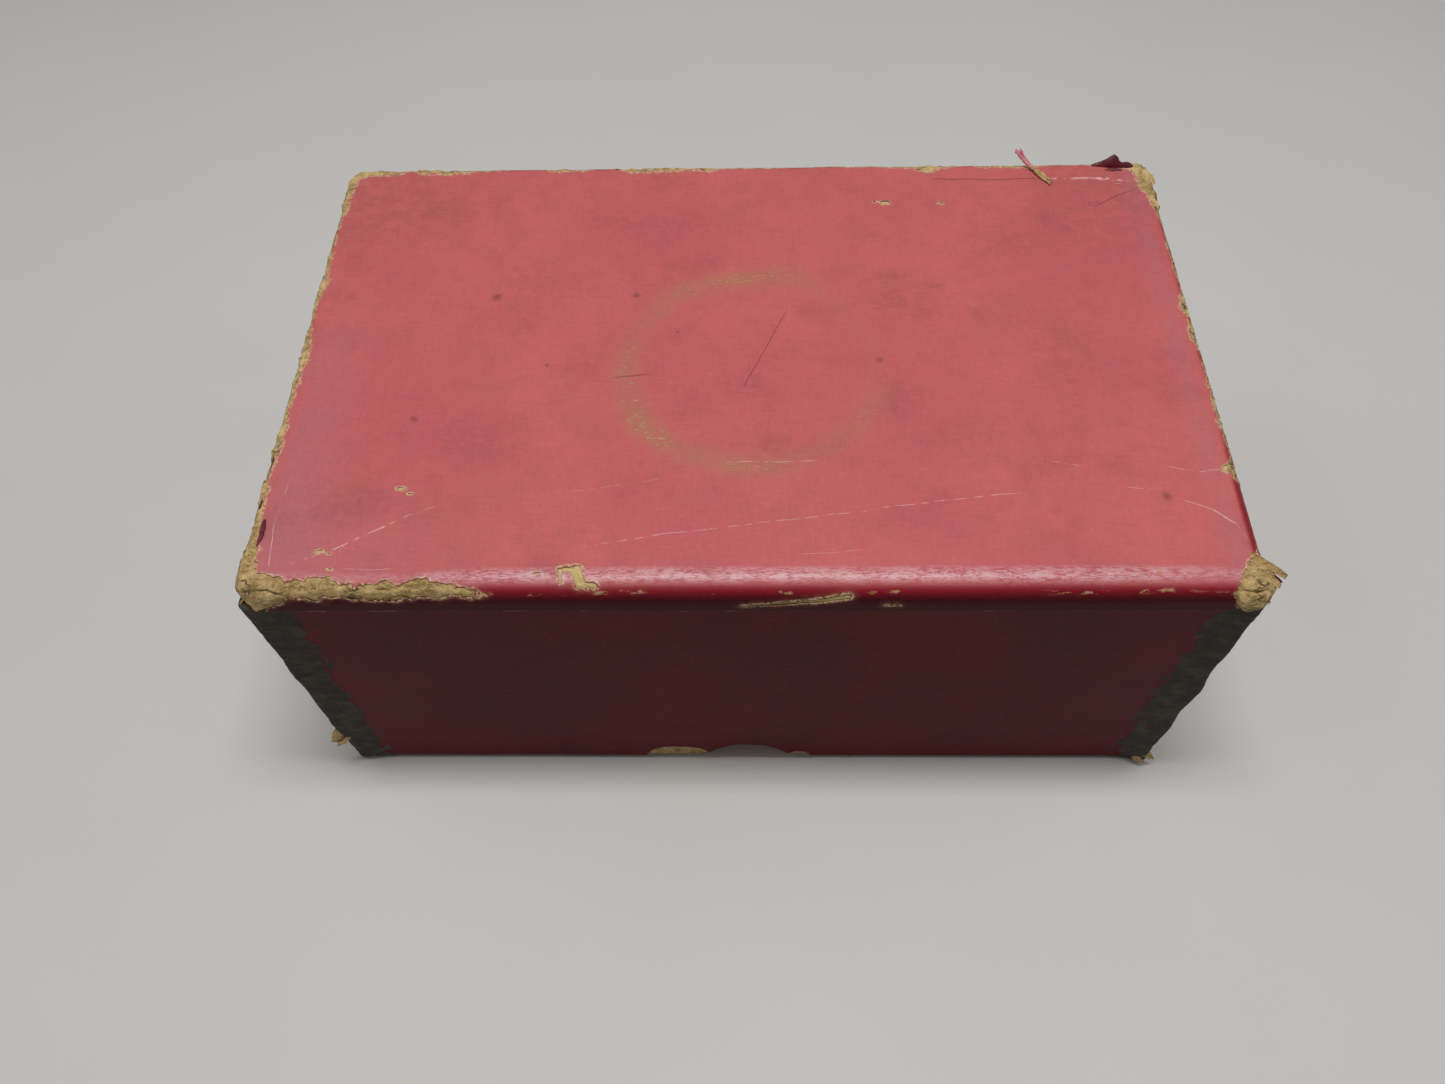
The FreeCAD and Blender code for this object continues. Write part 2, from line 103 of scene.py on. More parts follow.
def make_object(name, points, faces, material, body, slot, replaces=(), paint=None, settle=None):
    """A mesh object from points in millimetres.

    paint is vectors on its points for the material to read, and settle is called on it before it rides.
    """
    mesh = bpy.data.meshes.new(name)
    mesh.from_pydata((np.asarray(points) * MM).tolist(), [], [list(map(int, f)) for f in faces])
    mesh.update()
    mesh.polygons.foreach_set("use_smooth", [True] * len(mesh.polygons))
    for key, values in (paint or {}).items():
        attribute = mesh.attributes.new(key, "FLOAT_VECTOR", "POINT")
        attribute.data.foreach_set("vector", np.asarray(values, np.float32).ravel())
    obj = bpy.data.objects.new(name, mesh)
    bpy.context.scene.collection.objects.link(obj)
    mesh.materials.append(material)
    if settle:
        settle(obj)
    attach(obj, body)
    if replaces:
        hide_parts(*replaces)
    return obj


def grid_quads(rows, columns, wrap=False):
    """The faces of a grid of points, row by row; wrap also joins its last column to its first."""
    row = np.arange(rows - 1)[:, None] * columns
    column = np.arange(columns if wrap else columns - 1)
    i, j = (row + column).ravel(), (row + (column + 1) % columns).ravel()
    return stacked(i, i + columns, j + columns, j)


def stacked(*values):
    """Lists of numbers as the columns of one array."""
    return np.stack(values, axis=1)


def halves(quads):
    """Two triangles for each quad."""
    return np.concatenate([quads[:, [0, 1, 2]], quads[:, [0, 2, 3]]])


def unit(vectors):
    return vectors / np.linalg.norm(vectors, axis=1)[:, None]


def clip(tris, field, *arrays):
    """Cuts triangles along the line where field is zero and keeps the positive side."""
    inside = field > 0
    count = inside[tris].sum(axis=1)
    kept = [tris[count == 3]]
    cut = tris[(count == 1) | (count == 2)]
    if len(cut):
        # each cut triangle is turned so that a is alone on its side of the line
        one = inside[cut].sum(axis=1) == 1
        shift = np.argmax(inside[cut] == one[:, None], axis=1)
        a, b, c = (cut[np.arange(len(cut)), (shift + k) % 3] for k in range(3))
        base = len(field)
        ab = base + np.arange(len(cut))
        ac = ab + len(cut)
        for corners, which in (((a, ab, ac), one), ((ab, b, c), ~one), ((ab, c, ac), ~one)):
            kept.append(stacked(*corners)[which])
        start, end = np.concatenate([a, a]), np.concatenate([b, c])
        t = (field[start] / (field[start] - field[end]))[:, None]
        keys = np.minimum(start, end) * base + np.maximum(start, end)
        _, first, same = np.unique(keys, return_index=True, return_inverse=True)
        lookup = np.concatenate([np.arange(base), base + same.ravel()])
        kept = [lookup[k] for k in kept]
        start, end, t = start[first], end[first], t[first]
        arrays = [np.concatenate([x, x[start] * (1 - t) + x[end] * t]) for x in arrays]
    tris = np.concatenate(kept)
    good = (tris[:, 0] != tris[:, 1]) & (tris[:, 1] != tris[:, 2]) & (tris[:, 0] != tris[:, 2])
    used, tris = np.unique(tris[good], return_inverse=True)
    return tris.reshape(-1, 3), [x[used] for x in arrays]


def shell(points, normals, tris, thick):
    """A closed sheet: the given face, its back, and a rim along every free edge."""
    n = len(points)
    edges = np.concatenate([tris[:, [0, 1]], tris[:, [1, 2]], tris[:, [2, 0]]])
    keys = np.sort(edges, axis=1)
    _, first, counts = np.unique(keys[:, 0] * n + keys[:, 1], return_index=True, return_counts=True)
    start, end = edges[first[counts == 1]].T
    sides = [stacked(end, start, start + n), stacked(end, start + n, end + n)]
    both = np.concatenate([points, points - normals * thick])
    return both, np.concatenate([tris, tris[:, ::-1] + n, *sides])


def joined(parts):
    """Several meshes' points and faces as one mesh's."""
    starts = np.cumsum([0] + [len(points) for points, _ in parts])
    faces = [faces + start for (_, faces), start in zip(parts, starts)]
    return np.concatenate([points for points, _ in parts]), np.concatenate(faces)


# ---------------------------------------------------------------- shader nodes

class Nodes:
    """Short ways to write a material's nodes."""

    def __init__(self, name):
        self.material = bpy.data.materials.new(name)
        self.material.use_nodes = True
        self.tree = self.material.node_tree
        self.tree.nodes.clear()
        self.shader = self.node("ShaderNodeBsdfPrincipled")
        out = self.node("ShaderNodeOutputMaterial")
        self.link(self.shader.outputs[0], out.inputs["Surface"])
        self.coord = self.node("ShaderNodeTexCoord").outputs["Object"]

    def node(self, kind, **values):
        made = self.tree.nodes.new(kind)
        for key, value in values.items():
            setattr(made, key, value)
        return made

    def link(self, source, socket):
        """Links an output, or sets a plain value or colour."""
        if isinstance(source, bpy.types.NodeSocket):
            self.tree.links.new(source, socket)
        elif socket.type == "RGBA":
            socket.default_value = (*source, 1.0)
        else:
            socket.default_value = source

    def filled(self, kind, values, **settings):
        """The first output of a new node whose first inputs are the values."""
        made = self.node(kind, **settings)
        for socket, value in zip(made.inputs, values):
            self.link(value, socket)
        return made.outputs[0]

    def math(self, operation, a, b=0.0):
        return self.filled("ShaderNodeMath", (a, b), operation=operation)

    def plus(self, a, b):
        return self.math("ADD", a, b)

    def times(self, *values):
        """The product of the values."""
        product = values[0]
        for value in values[1:]:
            product = self.math("MULTIPLY", product, value)
        return product

    def vector(self, operation, a, b=(0, 0, 0)):
        made = self.node("ShaderNodeVectorMath", operation=operation)
        self.link(a, made.inputs[0])
        self.link(b, made.inputs[1])
        return made.outputs["Value" if operation == "LENGTH" else "Vector"]

    def scaled(self, vector, factors):
        return self.vector("MULTIPLY", vector, factors)

    def textured(self, kind, size, stretch, vector, **settings):
        """A texture node whose features are about size millimetres across."""
        made = self.node(kind, **settings)
        self.link(self.scaled(vector or self.coord, tuple(1 / s for s in stretch)), made.inputs["Vector"])
        made.inputs["Scale"].default_value = 1 / (size * MM)
        return made

    def noise(self, size, detail=3.0, stretch=(1, 1, 1), rough=0.55, warp=0.0):
        """Noise from 0 to 1."""
        made = self.textured("ShaderNodeTexNoise", size, stretch, None)
        for key, value in (("Detail", detail), ("Roughness", rough), ("Distortion", warp)):
            made.inputs[key].default_value = value
        return made.outputs["Fac"]

    def cells(self, size, feature="F1", stretch=(1, 1, 1), vector=None):
        made = self.textured("ShaderNodeTexVoronoi", size, stretch, vector, feature=feature)
        return made.outputs["Distance"]

    def ramp(self, value, low, high, out_low=0.0, out_high=1.0):
        values = (value, low, high, out_low, out_high)
        return self.filled("ShaderNodeMapRange", values, interpolation_type="SMOOTHSTEP")

    def mix(self, factor, a, b):
        """A colour between a and b."""
        made = self.node("ShaderNodeMix", data_type="RGBA")
        for index, value in ((0, factor), (6, a), (7, b)):
            self.link(value, made.inputs[index])
        return made.outputs[2]

    def tint(self, colour, new, *amounts):
        """The colour with a new one laid over it, as strongly as the product of the amounts."""
        return self.mix(self.times(*amounts), colour, new)

    def blend(self, factor, a, b):
        """A number between a and b."""
        made = self.node("ShaderNodeMix", data_type="FLOAT")
        for index, value in ((0, factor), (2, a), (3, b)):
            self.link(value, made.inputs[index])
        return made.outputs[0]

    def attribute(self, name):
        """Vectors that make_object painted on the mesh."""
        return self.node("ShaderNodeAttribute", attribute_name=name).outputs["Vector"]

    def split(self, vector=None):
        made = self.node("ShaderNodeSeparateXYZ")
        self.link(vector or self.coord, made.inputs[0])
        return made.outputs

    def bump(self, height, depth, under=None):
        """Bump whose full height is depth millimetres."""
        made = self.node("ShaderNodeBump")
        made.inputs["Strength"].default_value = 1.0
        made.inputs["Distance"].default_value = depth * MM
        self.link(height, made.inputs["Height"])
        if under:
            self.link(under, made.inputs["Normal"])
        return made.outputs["Normal"]

    def finish(self, **sockets):
        for name, value in sockets.items():
            self.link(value, self.shader.inputs[name.replace("_", " ")])
        return self.material


def srgb(r, g, b):
    """Linear colour from 0 to 255 sRGB numbers."""
    shares = (r / 255, g / 255, b / 255)
    return tuple(c / 12.92 if c <= 0.04045 else ((c + 0.055) / 1.055) ** 2.4 for c in shares)


# ---------------------------------------------------------------- sizes from the frame

def box_mm(node):
    low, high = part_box(node)
    return np.array(low) / MM, np.array(high) / MM


top_low, top_high = box_mm("lid_top_cover")
board_low, board_high = box_mm("lid_top_board")
front_low, front_high = box_mm("lid_front_board")
cover_low, cover_high = box_mm("lid_front_cover")
HALF_W, HALF_D, TOP = top_high
SKIRT_Z = top_low[2]  # the turned-down strip's lower edge
COVER = TOP - board_high[2]  # the covering's thickness in the frame
BOARD_W, BOARD_D = front_high[0], -front_low[1]
RIM_Z = cover_low[2]
SIDES = ("front", "back", "left", "right")

ZONE = 4.2  # how far in from the walls the rounding starts, and the corners' radius seen from above
RADII = {"left": 2.2, "right": 2.4, "front": 4.2, "back": 2.0}  # of the top edges
X0, Y0 = HALF_W - ZONE, HALF_D - ZONE
RING_START = 0.25  # where the edge strip's grid begins, outward from the zone's line
RING_STEP = 0.5  # between its stations
MIDDLE_GRIDS = ((0.7, 0.5, 3.2), (1.6, 3.9, 99))  # step, and nearest and farthest from the zone's line


def stations(step):
    """Places round the top's edge: a foot on the zone's line, and the outward direction there."""
    feet, ways = [], []
    turns = round(ZONE * QUARTER / step) + 1
    for sx, sy in ((1, -1), (1, 1), (-1, 1), (-1, -1)):
        start = math.atan2(sy, sx) - QUARTER / 2
        for angle in np.linspace(start, start + QUARTER, turns):
            feet.append((sx * X0, sy * Y0))
            ways.append((math.cos(angle), math.sin(angle)))
        along_x = sx == sy
        length = 2 * (X0 if along_x else Y0)
        count = round(length / step)
        dx, dy = (-sy, 0) if along_x else (0, sx)
        for k in range(1, count):
            feet.append((sx * X0 + dx * k * length / count, sy * Y0 + dy * k * length / count))
            ways.append((0, sy) if along_x else (sx, 0))
    return np.array(feet), np.array(ways, float)


def edge_ring(rows, drop):
    """The rounded edge and the turned-down strip: points, normals, q and across for rows of stations.

    q is the distance along the profile from the ridge of the edge (negative on the top's side), and across is
    how much each place belongs to the front or back rather than the sides.
    """
    feet, ways = stations(RING_STEP)
    across = np.round(ways[:, 1] ** 2, 9)
    rx = np.where(ways[:, 0] > 0, RADII["right"], RADII["left"])
    ry = np.where(ways[:, 1] > 0, RADII["back"], RADII["front"])
    r = rx * (1 - across) + ry * across
    flat = ZONE - r
    total = flat + r * QUARTER + drop - r
    t = np.linspace(0, 1, rows)[:, None]
    along = RING_START + t * (total - RING_START)[None, :]
    theta = np.clip((along - flat) / r, 0, QUARTER)
    out = np.minimum(along, flat) + r * np.sin(theta)
    down = r * (1 - np.cos(theta)) + np.maximum(along - flat - r * QUARTER, 0)
    x, y = feet[:, 0] + ways[:, 0] * out, feet[:, 1] + ways[:, 1] * out
    points = np.stack([x, y, TOP - down], axis=2).reshape(-1, 3)
    normals = np.stack([ways[:, 0] * np.sin(theta), ways[:, 1] * np.sin(theta), np.cos(theta)], axis=2)
    q = (along - flat - r * math.pi / 4).ravel()
    count = len(feet)
    quads = grid_quads(rows, count, wrap=True)
    return points, normals.reshape(-1, 3), q, np.tile(across, rows), quads, count


def with_middle(ring, spots):
    """Adds the flat middle of the top to an edge ring, finer near its rim and round each spot."""
    points, normals, q, across, quads, count = ring
    inner = []
    for step, low, high in MIDDLE_GRIDS:
        xs, ys = (np.arange(low - size, size - low + 0.01, step) for size in (X0, Y0))
        xs, ys = np.meshgrid(xs, ys)
        depth = np.minimum(X0 - np.abs(xs), Y0 - np.abs(ys))
        inner.append(np.stack([xs, ys], axis=2)[(depth >= low) & (depth < high)])
    grid = np.concatenate(inner)
    for (x, y), radius in spots:
        grid = grid[np.hypot(grid[:, 0] - x, grid[:, 1] - y) > 2.3 * radius + 0.5]
        for size in np.arange(0.12, 2.2 * radius + 0.4, 0.2):
            turn = np.arange(0, 2 * math.pi, min(1.0, 0.24 / size))
            circle = stacked(x + size * np.cos(turn), y + size * np.sin(turn))
            grid = np.concatenate([grid, circle])
    flat = [Vector(p) for p in np.concatenate([points[:count, :2], grid]).tolist()]
    loop = [(i, (i + 1) % count) for i in range(count)]
    found, _, faces, sources, _, _ = delaunay_2d_cdt(flat, loop, [], 1, 1e-6)
    # a found point is one of the ring's first row, or a new one
    target = np.full(len(found), -1)
    extra = []
    for i, source in enumerate(sources):
        first = min(source) if source else -1
        if 0 <= first < count:
            target[i] = first
        else:
            target[i] = len(points) + len(extra)
            extra.append((*found[i], TOP))
    tris = np.array([[target[k] for k in f] for f in faces])
    a, b, c = (np.array([found[k] for k in column]) for column in np.array(faces).T)
    turned = (b[:, 0] - a[:, 0]) * (c[:, 1] - a[:, 1]) - (b[:, 1] - a[:, 1]) * (c[:, 0] - a[:, 0]) < 0
    tris[turned] = tris[turned][:, ::-1]
    extra = np.array(extra)
    to_side, to_end = X0 - np.abs(extra[:, 0]), Y0 - np.abs(extra[:, 1])
    added = (extra, np.tile([0.0, 0.0, 1.0], (len(extra), 1)), -3.3 - np.minimum(to_side, to_end),
             np.where(to_side < to_end, 0.0, 1.0))
    return (*(np.concatenate(both) for both in zip((points, normals, q, across), added)),
            np.concatenate([halves(quads), tris]))


# ---------------------------------------------------------------- where the covering is worn

# How far the covering is worn back along each edge: place, width bared seen from above, reach down the wall.
WEAR = {
    "left": [(-55, 5.5, 5.5), (-52, 3.6, 4.6), (-48, 2.7, 3.6), (-44.5, 2.7, 3.2), (-41, 2.3, 3),
        (-38, 1.3, 2.8), (-35, 1.7, 2.6), (-30, 1.5, 2.4), (-24, 1.9, 2.2), (-16, 1.6, 2), (-12, 1.1, 2),
        (-6, 1.5, 1.8), (-1, 2.4, 2.2), (4, 1.5, 2.2), (12, 1.1, 1.6), (20, 1.9, 2), (27, 1.4, 1.4),
        (32, 1, 1.2), (35, 0.8, 0.8), (38, 1.4, 1.4), (42, 2.2, 1.8), (45, 1.4, 1.8), (48, 2.3, 2.2),
        (55, 2.8, 3)],
    "back": [(-89, 3.6, 3), (-83, 2.5, 2.2), (-78, 2.2, 2), (-75, 1.2, 1.5), (-71, 2.4, 1.5), (-64, 2.1, 1.2),
        (-60, 0.9, 0.4), (-45, 0.7, 0.4), (-42, 1.9, 1), (-37, 1.6, 0.8), (-34, 0.6, 0.3), (-28, 0.9, 0.6),
        (-25, 2.2, 1.4), (-16, 1.7, 1.2), (-8, 2, 1.2), (-4, 1, 0.8), (10, 0.7, 0.5), (26, 1, 0.6),
        (36, 1.6, 1), (39.5, 3.1, 1.3), (42, 1.9, 1.2), (48, 0.9, 0.8), (56, 1.5, 0.8), (62, 1.5, 0.8),
        (70, 0.8, 0.6), (78, 1, 1.2), (83, 2.2, 2.2), (86, 3.8, 3.6), (89, 4.8, 4.5)],
    "right": [(-55, 5.4, 4.8), (-52, 4, 3), (-49.6, 3, 2), (-48.2, 2.2, 0.6), (-47, 1, 0.2),
        (-45.6, 0.3, -0.4), (-33, 0.3, 0.2), (-31, 1.6, 1.4), (-29.6, 3.9, 1.6), (-28.4, 1.8, 1.2),
        (-26, 0.6, 0.6), (-18, 1.3, 1.4), (-9, 1.2, 1.2), (-5, 0.7, 0.8), (-2, 0.3, 0.4), (1, 1.4, 1.2),
        (5, 1.7, 1.2), (8, 1.1, 0.8), (10, 1.8, 1.4), (14, 1.2, 0.8), (17, 0.3, 0.2), (23, 0.9, 0.8),
        (29, 0.9, 0.6), (33, 0.3, 0.2), (37, 0.9, 1.2), (42, 2, 2.6), (46, 3, 3.2), (50, 3.6, 3.6),
        (55, 4.6, 4.5)],
    "front": [(-89, 5.3, 6.8), (-86, 5, 5.8), (-84, 3.7, 4.4), (-81.5, 3.4, 2.6), (-79.5, 2.5, 1.4),
        (-77.2, 2.3, 1.3), (-76.3, 3.1, 1.4), (-74.8, 3.9, 1.7), (-72.6, 3.2, 1.2), (-71, 2.4, 0.8),
        (-69.4, 2.4, 1.4), (-67.2, 1.6, 1.5), (-64.4, 2, 1.7), (-62.6, 2.9, 1.7), (-60, 2, 1.7),
        (-58.4, 2.8, 1.5), (-56.8, 3.1, 1.4), (-54.3, 2.5, 1.3), (-52, 2.1, 1.2), (-50, 1.8, 1.2),
        (-47.7, 1.2, 1.2), (-45.5, 0.8, 1), (-44, 0.4, 0.2), (-42.5, 0, -2), (81.5, 0, -2), (83, 0.6, 0.6),
        (83.8, 2, 3), (84.6, 4.2, 4.6), (89, 5.2, 5.6)],
}


def bared(side, along):
    """The worn strip's two edges at places along a side, as reaches from the ridge in millimetres."""
    places, widths, walls = np.array(WEAR[side], float).T
    width, r = np.interp(along, places, widths), RADII[side]
    theta = np.arcsin(np.clip(1 - width / r, 0, 1))
    on_top = np.where(width < r, r * (math.pi / 4 - theta), r * math.pi / 4 + width - r)
    return on_top, np.interp(along, places, walls)


def edge_strip(points, q, across):
    """Signed distance, in millimetres, from the worn strip along the top edges; negative is worn away."""
    x, y = points[:, 0], points[:, 1]
    sides = [np.where(x > 0, r, l) for r, l in zip(bared("right", y), bared("left", y))]
    ends = [np.where(y > 0, b, f) for b, f in zip(bared("back", x), bared("front", x))]
    upper, lower = (s * (1 - across) + e * across for s, e in zip(sides, ends))
    return np.maximum(-(q + upper), q - lower)


# Small tears in the front edge: the chip's strokes and a scraped wedge, as (x, q) line ends and half-widths.
FRONT_MARKS = [
    ((-32.4, -3.9), (-32, -1.5), 0.26), ((-31.6, -3.9), (-29, -4), 0.5), ((-29.6, -3.8), (-28.6, -1.2), 0.85),
    ((-28.9, -0.9), (-26.2, -0.8), 0.5), ((17.6, 1.3), (11, 2.5), 0.45), ((11.6, 2.4), (5, 3.1), 0.3),
    ((5.4, 3.1), (-0.6, 3.6), 0.16), ((24, 3.4), (26.4, 3.5), 0.05), ((-37.5, -2.9), (-35.5, -3), 0.14),
]


def segment_gap(x, y, start, end):
    """Distance of points from a line segment."""
    (ax, ay), (bx, by) = start, end
    dx, dy = bx - ax, by - ay
    t = np.clip(((x - ax) * dx + (y - ay) * dy) / (dx * dx + dy * dy), 0, 1)
    return np.hypot(x - ax - t * dx, y - ay - t * dy)


def swell(points):
    """Slow waves that take the walls and edges a little off straight."""
    return 0.22 * fbm(points, 46, 2, 5)


# ---------------------------------------------------------------- marks on the top

RING_AT = (0.6, -4.0)
RING_RADIUS = 24.3
# how strongly the ring is worn at angles round it, from the left (-180 degrees) through the front (-90)
RING_WEAR = [(-180, 0.75), (-168, 0.55), (-150, 0.95), (-135, 1), (-118, 0.7), (-95, 0.9), (-78, 0.85),
             (-60, 0.5), (-40, 0.55), (-25, 0.6), (-8, 0.3), (15, 0.2), (45, 0.3), (62, 0.6), (75, 0.75),
             (95, 1), (112, 0.85), (135, 0.75), (158, 0.45), (172, 0.75), (180, 0.75)]
# light scratches and creases, and dark lines: ends, and half-width. The pale lines of the creases and of the
# back tear are partly a painted highlight along their ridges.
SCRATCHES = [
    ((-28.3, -45.7), (-14.5, -43.2), 0.1), ((-14.5, -43.2), (4, -40.6), 0.09),
    ((4, -40.6), (18, -38.6), 0.08), ((18, -38.6), (33, -36.4), 0.09), ((33, -36.4), (48, -34.6), 0.09),
    ((-69.6, -50.1), (-62, -49.9), 0.07), ((-3, -27.4), (12, -27.2), 0.1), ((66, -33), (73, -34), 0.07),
    ((-31.2, -33.7), (-16, -31.2), 0.05), ((52, -26.5), (60, -28.6), 0.07), ((76, -29), (82.5, -30.2), 0.08),
    ((10, -47.2), (19, -46.6), 0.07),
]
CREASES = [
    ((-79, -48.6), (-73, -46.2), 0.13), ((-73, -46.2), (-67, -42.6), 0.15),
    ((-67, -42.6), (-62.9, -40.1), 0.2), ((-62.9, -40.1), (-56.9, -37.3), 0.12),
    ((-83.7, -32.6), (-84.3, -41), 0.07), ((-84.3, -41), (-83.6, -49), 0.1),
    ((77.6, -36.6), (82.2, -38.5), 0.1), ((82.2, -38.5), (85.4, -41.2), 0.17),
    ((85.4, -41.2), (86.6, -44.6), 0.06), ((82.6, -29.9), (85.4, -29.8), 0.12),
    ((66, 49.3), (76, 49.2), 0.32), ((76, 49.2), (86, 48.6), 0.5),
]
DARK_LINES = [((-25.6, -6.9), (-18.9, -6.2), 0.14), ((7.8, 10), (4.3, 1.4), 0.075),
              ((4.3, 1.4), (-0.6, -9.4), 0.07), ((74.9, 40.6), (84.4, 45.9), 0.09),
              ((41.6, 49.9), (52, 49.4), 0.16), ((52, 49.4), (66, 49.2), 0.13)]
# places where the sheet is chipped through, and dark spots: middle, radius
CHIPS = [((30, 42), 1), ((27.8, 42.3), 0.3), ((42, 41.7), 0.42), ((-62.8, -33), 0.8), ((-61, -34.2), 0.35),
         ((-75.2, -46.5), 0.75), ((-73.2, -46.9), 0.35), ((-72.6, -50.1), 0.4)]
DARK_SPOTS = [((-22.7, 15.1), 0.9), ((74.8, -35.6), 1.1), ((25.9, -2.8), 0.9), ((-13.6, 5), 0.4),
              ((-39, -3.4), 0.5), ((-63.3, -16.9), 0.9), ((-51, 15), 1.1)]
# grey-brown smudges: middle, half-sizes, strength. The first two are broad painted shade that darkens the
# back corners.
SMUDGES_AND_SHADE = [(-78, 44, 26, 20, 0.3), (78, 42, 30, 24, 0.28), (29, -12, 6, 9, 0.28), (31, 14, 9, 6, 0.35),
           (30.5, 20, 4.5, 2.2, 0.6), (38, 17.5, 5, 1.6, 0.4), (-50, -22, 16, 9, 0.25), (40, -22, 14, 9, 0.2),
           (-46, 20, 12, 10, 0.22), (62, -2, 12, 16, 0.18), (-20, 36, 22, 7, 0.22), (56, 30, 14, 8, 0.25),
           (5, -24, 14, 5, 0.3), (-72, -36, 9, 8, 0.3)]


def nearest_mark(x, y, marks):
    """For each point, the sideways distance to the nearest mark in half-widths, and 1 near it or 0 away."""
    best = np.full(len(x), 1e9)
    sideways, near = np.full(len(x), 9.0), np.zeros(len(x))
    for (ax, ay), (bx, by), half in marks:
        length = math.hypot(bx - ax, by - ay)
        dx, dy = (bx - ax) / length, (by - ay) / length
        along = (x - ax) * dx + (y - ay) * dy
        across = (y - ay) * dx - (x - ax) * dy
        past = np.maximum(-along, along - length)
        gap = np.hypot(across, np.maximum(past, 0))
        closer = gap < best
        best = np.where(closer, gap, best)
        sideways = np.where(closer, across / half, sideways)
        near = np.where(closer, smooth(2.0, 1.0, np.abs(across)) * smooth(0.9, 0.0, past), near)
    return sideways, near


def nearest_spot(x, y, spots):
    """For each point, the way to the nearest spot's middle in radii, and 1 near it or 0 away."""
    best = np.full(len(x), 1e9)
    found = np.zeros((len(x), 3))
    for (sx, sy), radius in spots:
        gap = np.hypot(x - sx, y - sy)
        near = stacked((x - sx) / radius, (y - sy) / radius, smooth(3.4, 2.2, gap))
        found = np.where((gap < best)[:, None], near, found)
        best = np.minimum(best, gap)
    return found


def top_paint(points, normals, field, q, across):
    """What the top sheet's material reads: marks, spots, wear with a painted highlight, shape with painted
    sheen and shade, and tone with painted shade.
    """
    x = points[:, 0] + 0.3 * noise(points, 5, 801)
    y = points[:, 1] + 0.3 * noise(points, 5, 802)
    on_top = smooth(0.9, 0.99, normals[:, 2])
    light, light_near = nearest_mark(x, y, SCRATCHES + CREASES)
    dark, dark_near = nearest_mark(x, y, DARK_LINES)
    use_dark = dark_near > light_near
    marks = stacked(np.where(use_dark, dark, light), np.where(use_dark, 0, light_near) * on_top,
                    np.where(use_dark, dark_near, 0) * on_top)
    spots = nearest_spot(x, y, DARK_SPOTS)
    spots[:, 2] *= on_top
    # wear and sheen: the ring, the torn edges and hem, and the front's rounding, whose pale band is partly
    # burnish and partly a painted highlight
    rx = x - RING_AT[0] + 1.5 * noise(points, 11, 811)
    ry = y - RING_AT[1] + 1.5 * noise(points, 11, 812)
    band = smooth(4.4, 0.8, np.abs(np.hypot(rx, ry) - RING_RADIUS))
    ring = band * np.interp(np.degrees(np.arctan2(ry, rx)), *zip(*RING_WEAR))
    hem = smooth(0.45, 0.1, points[:, 2] - SKIRT_Z) * smooth(0.2, 0.5, noise(points, (2.6, 2.6, 3), 821))
    torn = np.maximum(np.exp(-np.clip(field, 0, 9) / 1.3), 0.8 * hem)
    worn_end = smooth(-44, -62, x)
    front = smooth(0.4, 0.9, across) * (y < 0) * smooth(-0.5, -2.4, q) * (1 - 0.6 * worn_end)
    front *= 1 - 0.45 * smooth(66, 82, x)
    front *= smooth(-4.5 + 0.9 * worn_end, -3.3 + 0.9 * worn_end, q)
    # tone: dusty strips beside the ends, smudges with painted shade at the back corners, and a pale front
    # left corner
    from_left, from_right = x + HALF_W, HALF_W - x
    dusty = 0.5 * smooth(2.0, 4.2, from_right) * smooth(9.0, 5.2, from_right)
    dusty = dusty + 0.6 * smooth(1, 5, from_left) * smooth(19, 6, from_left) * smooth(25, -20, y) * (q < -2)
    smudge_and_shade = 0.0
    for sx, sy, width, height, amount in SMUDGES_AND_SHADE:
        spread = np.hypot((x - sx) / width, (y - sy) / height)
        smudge_and_shade = np.maximum(smudge_and_shade, amount * smooth(1.1, 0.0, spread))
    pale = smooth(26, 4, np.hypot(x * 0.55 + 44, y + 50)) * 0.7
    # shape: where the top's pale red ends (partly faded, partly a painted sheen), the painted shade below it,
    # and a streak along the front
    on_front = smooth(0.3, 0.8, across) * (y < 0)
    on_right = smooth(0.3, 0.8, 1 - across) * (x > 0) * smooth(-12, -38, y)
    faded_and_sheen = smooth(0.1 + 0.2 * on_front - 1.0 * on_right, -1.3 - 0.5 * on_front - 0.7 * on_right, q)
    shade = smooth(0.9 - 0.9 * on_front, 3.2 - 0.9 * on_front, q)
    streak = on_front * smooth(0.5, 0.12, np.abs(q - 0.55 - 0.5 * noise(points, 8, 831)))
    return {"marks": marks, "spots": spots, "wear_and_sheen": stacked(ring, torn, front),
            "shape": stacked(faded_and_sheen, shade, streak), "tone": stacked(dusty, smudge_and_shade, pale) * on_top[:, None]}


# ---------------------------------------------------------------- materials

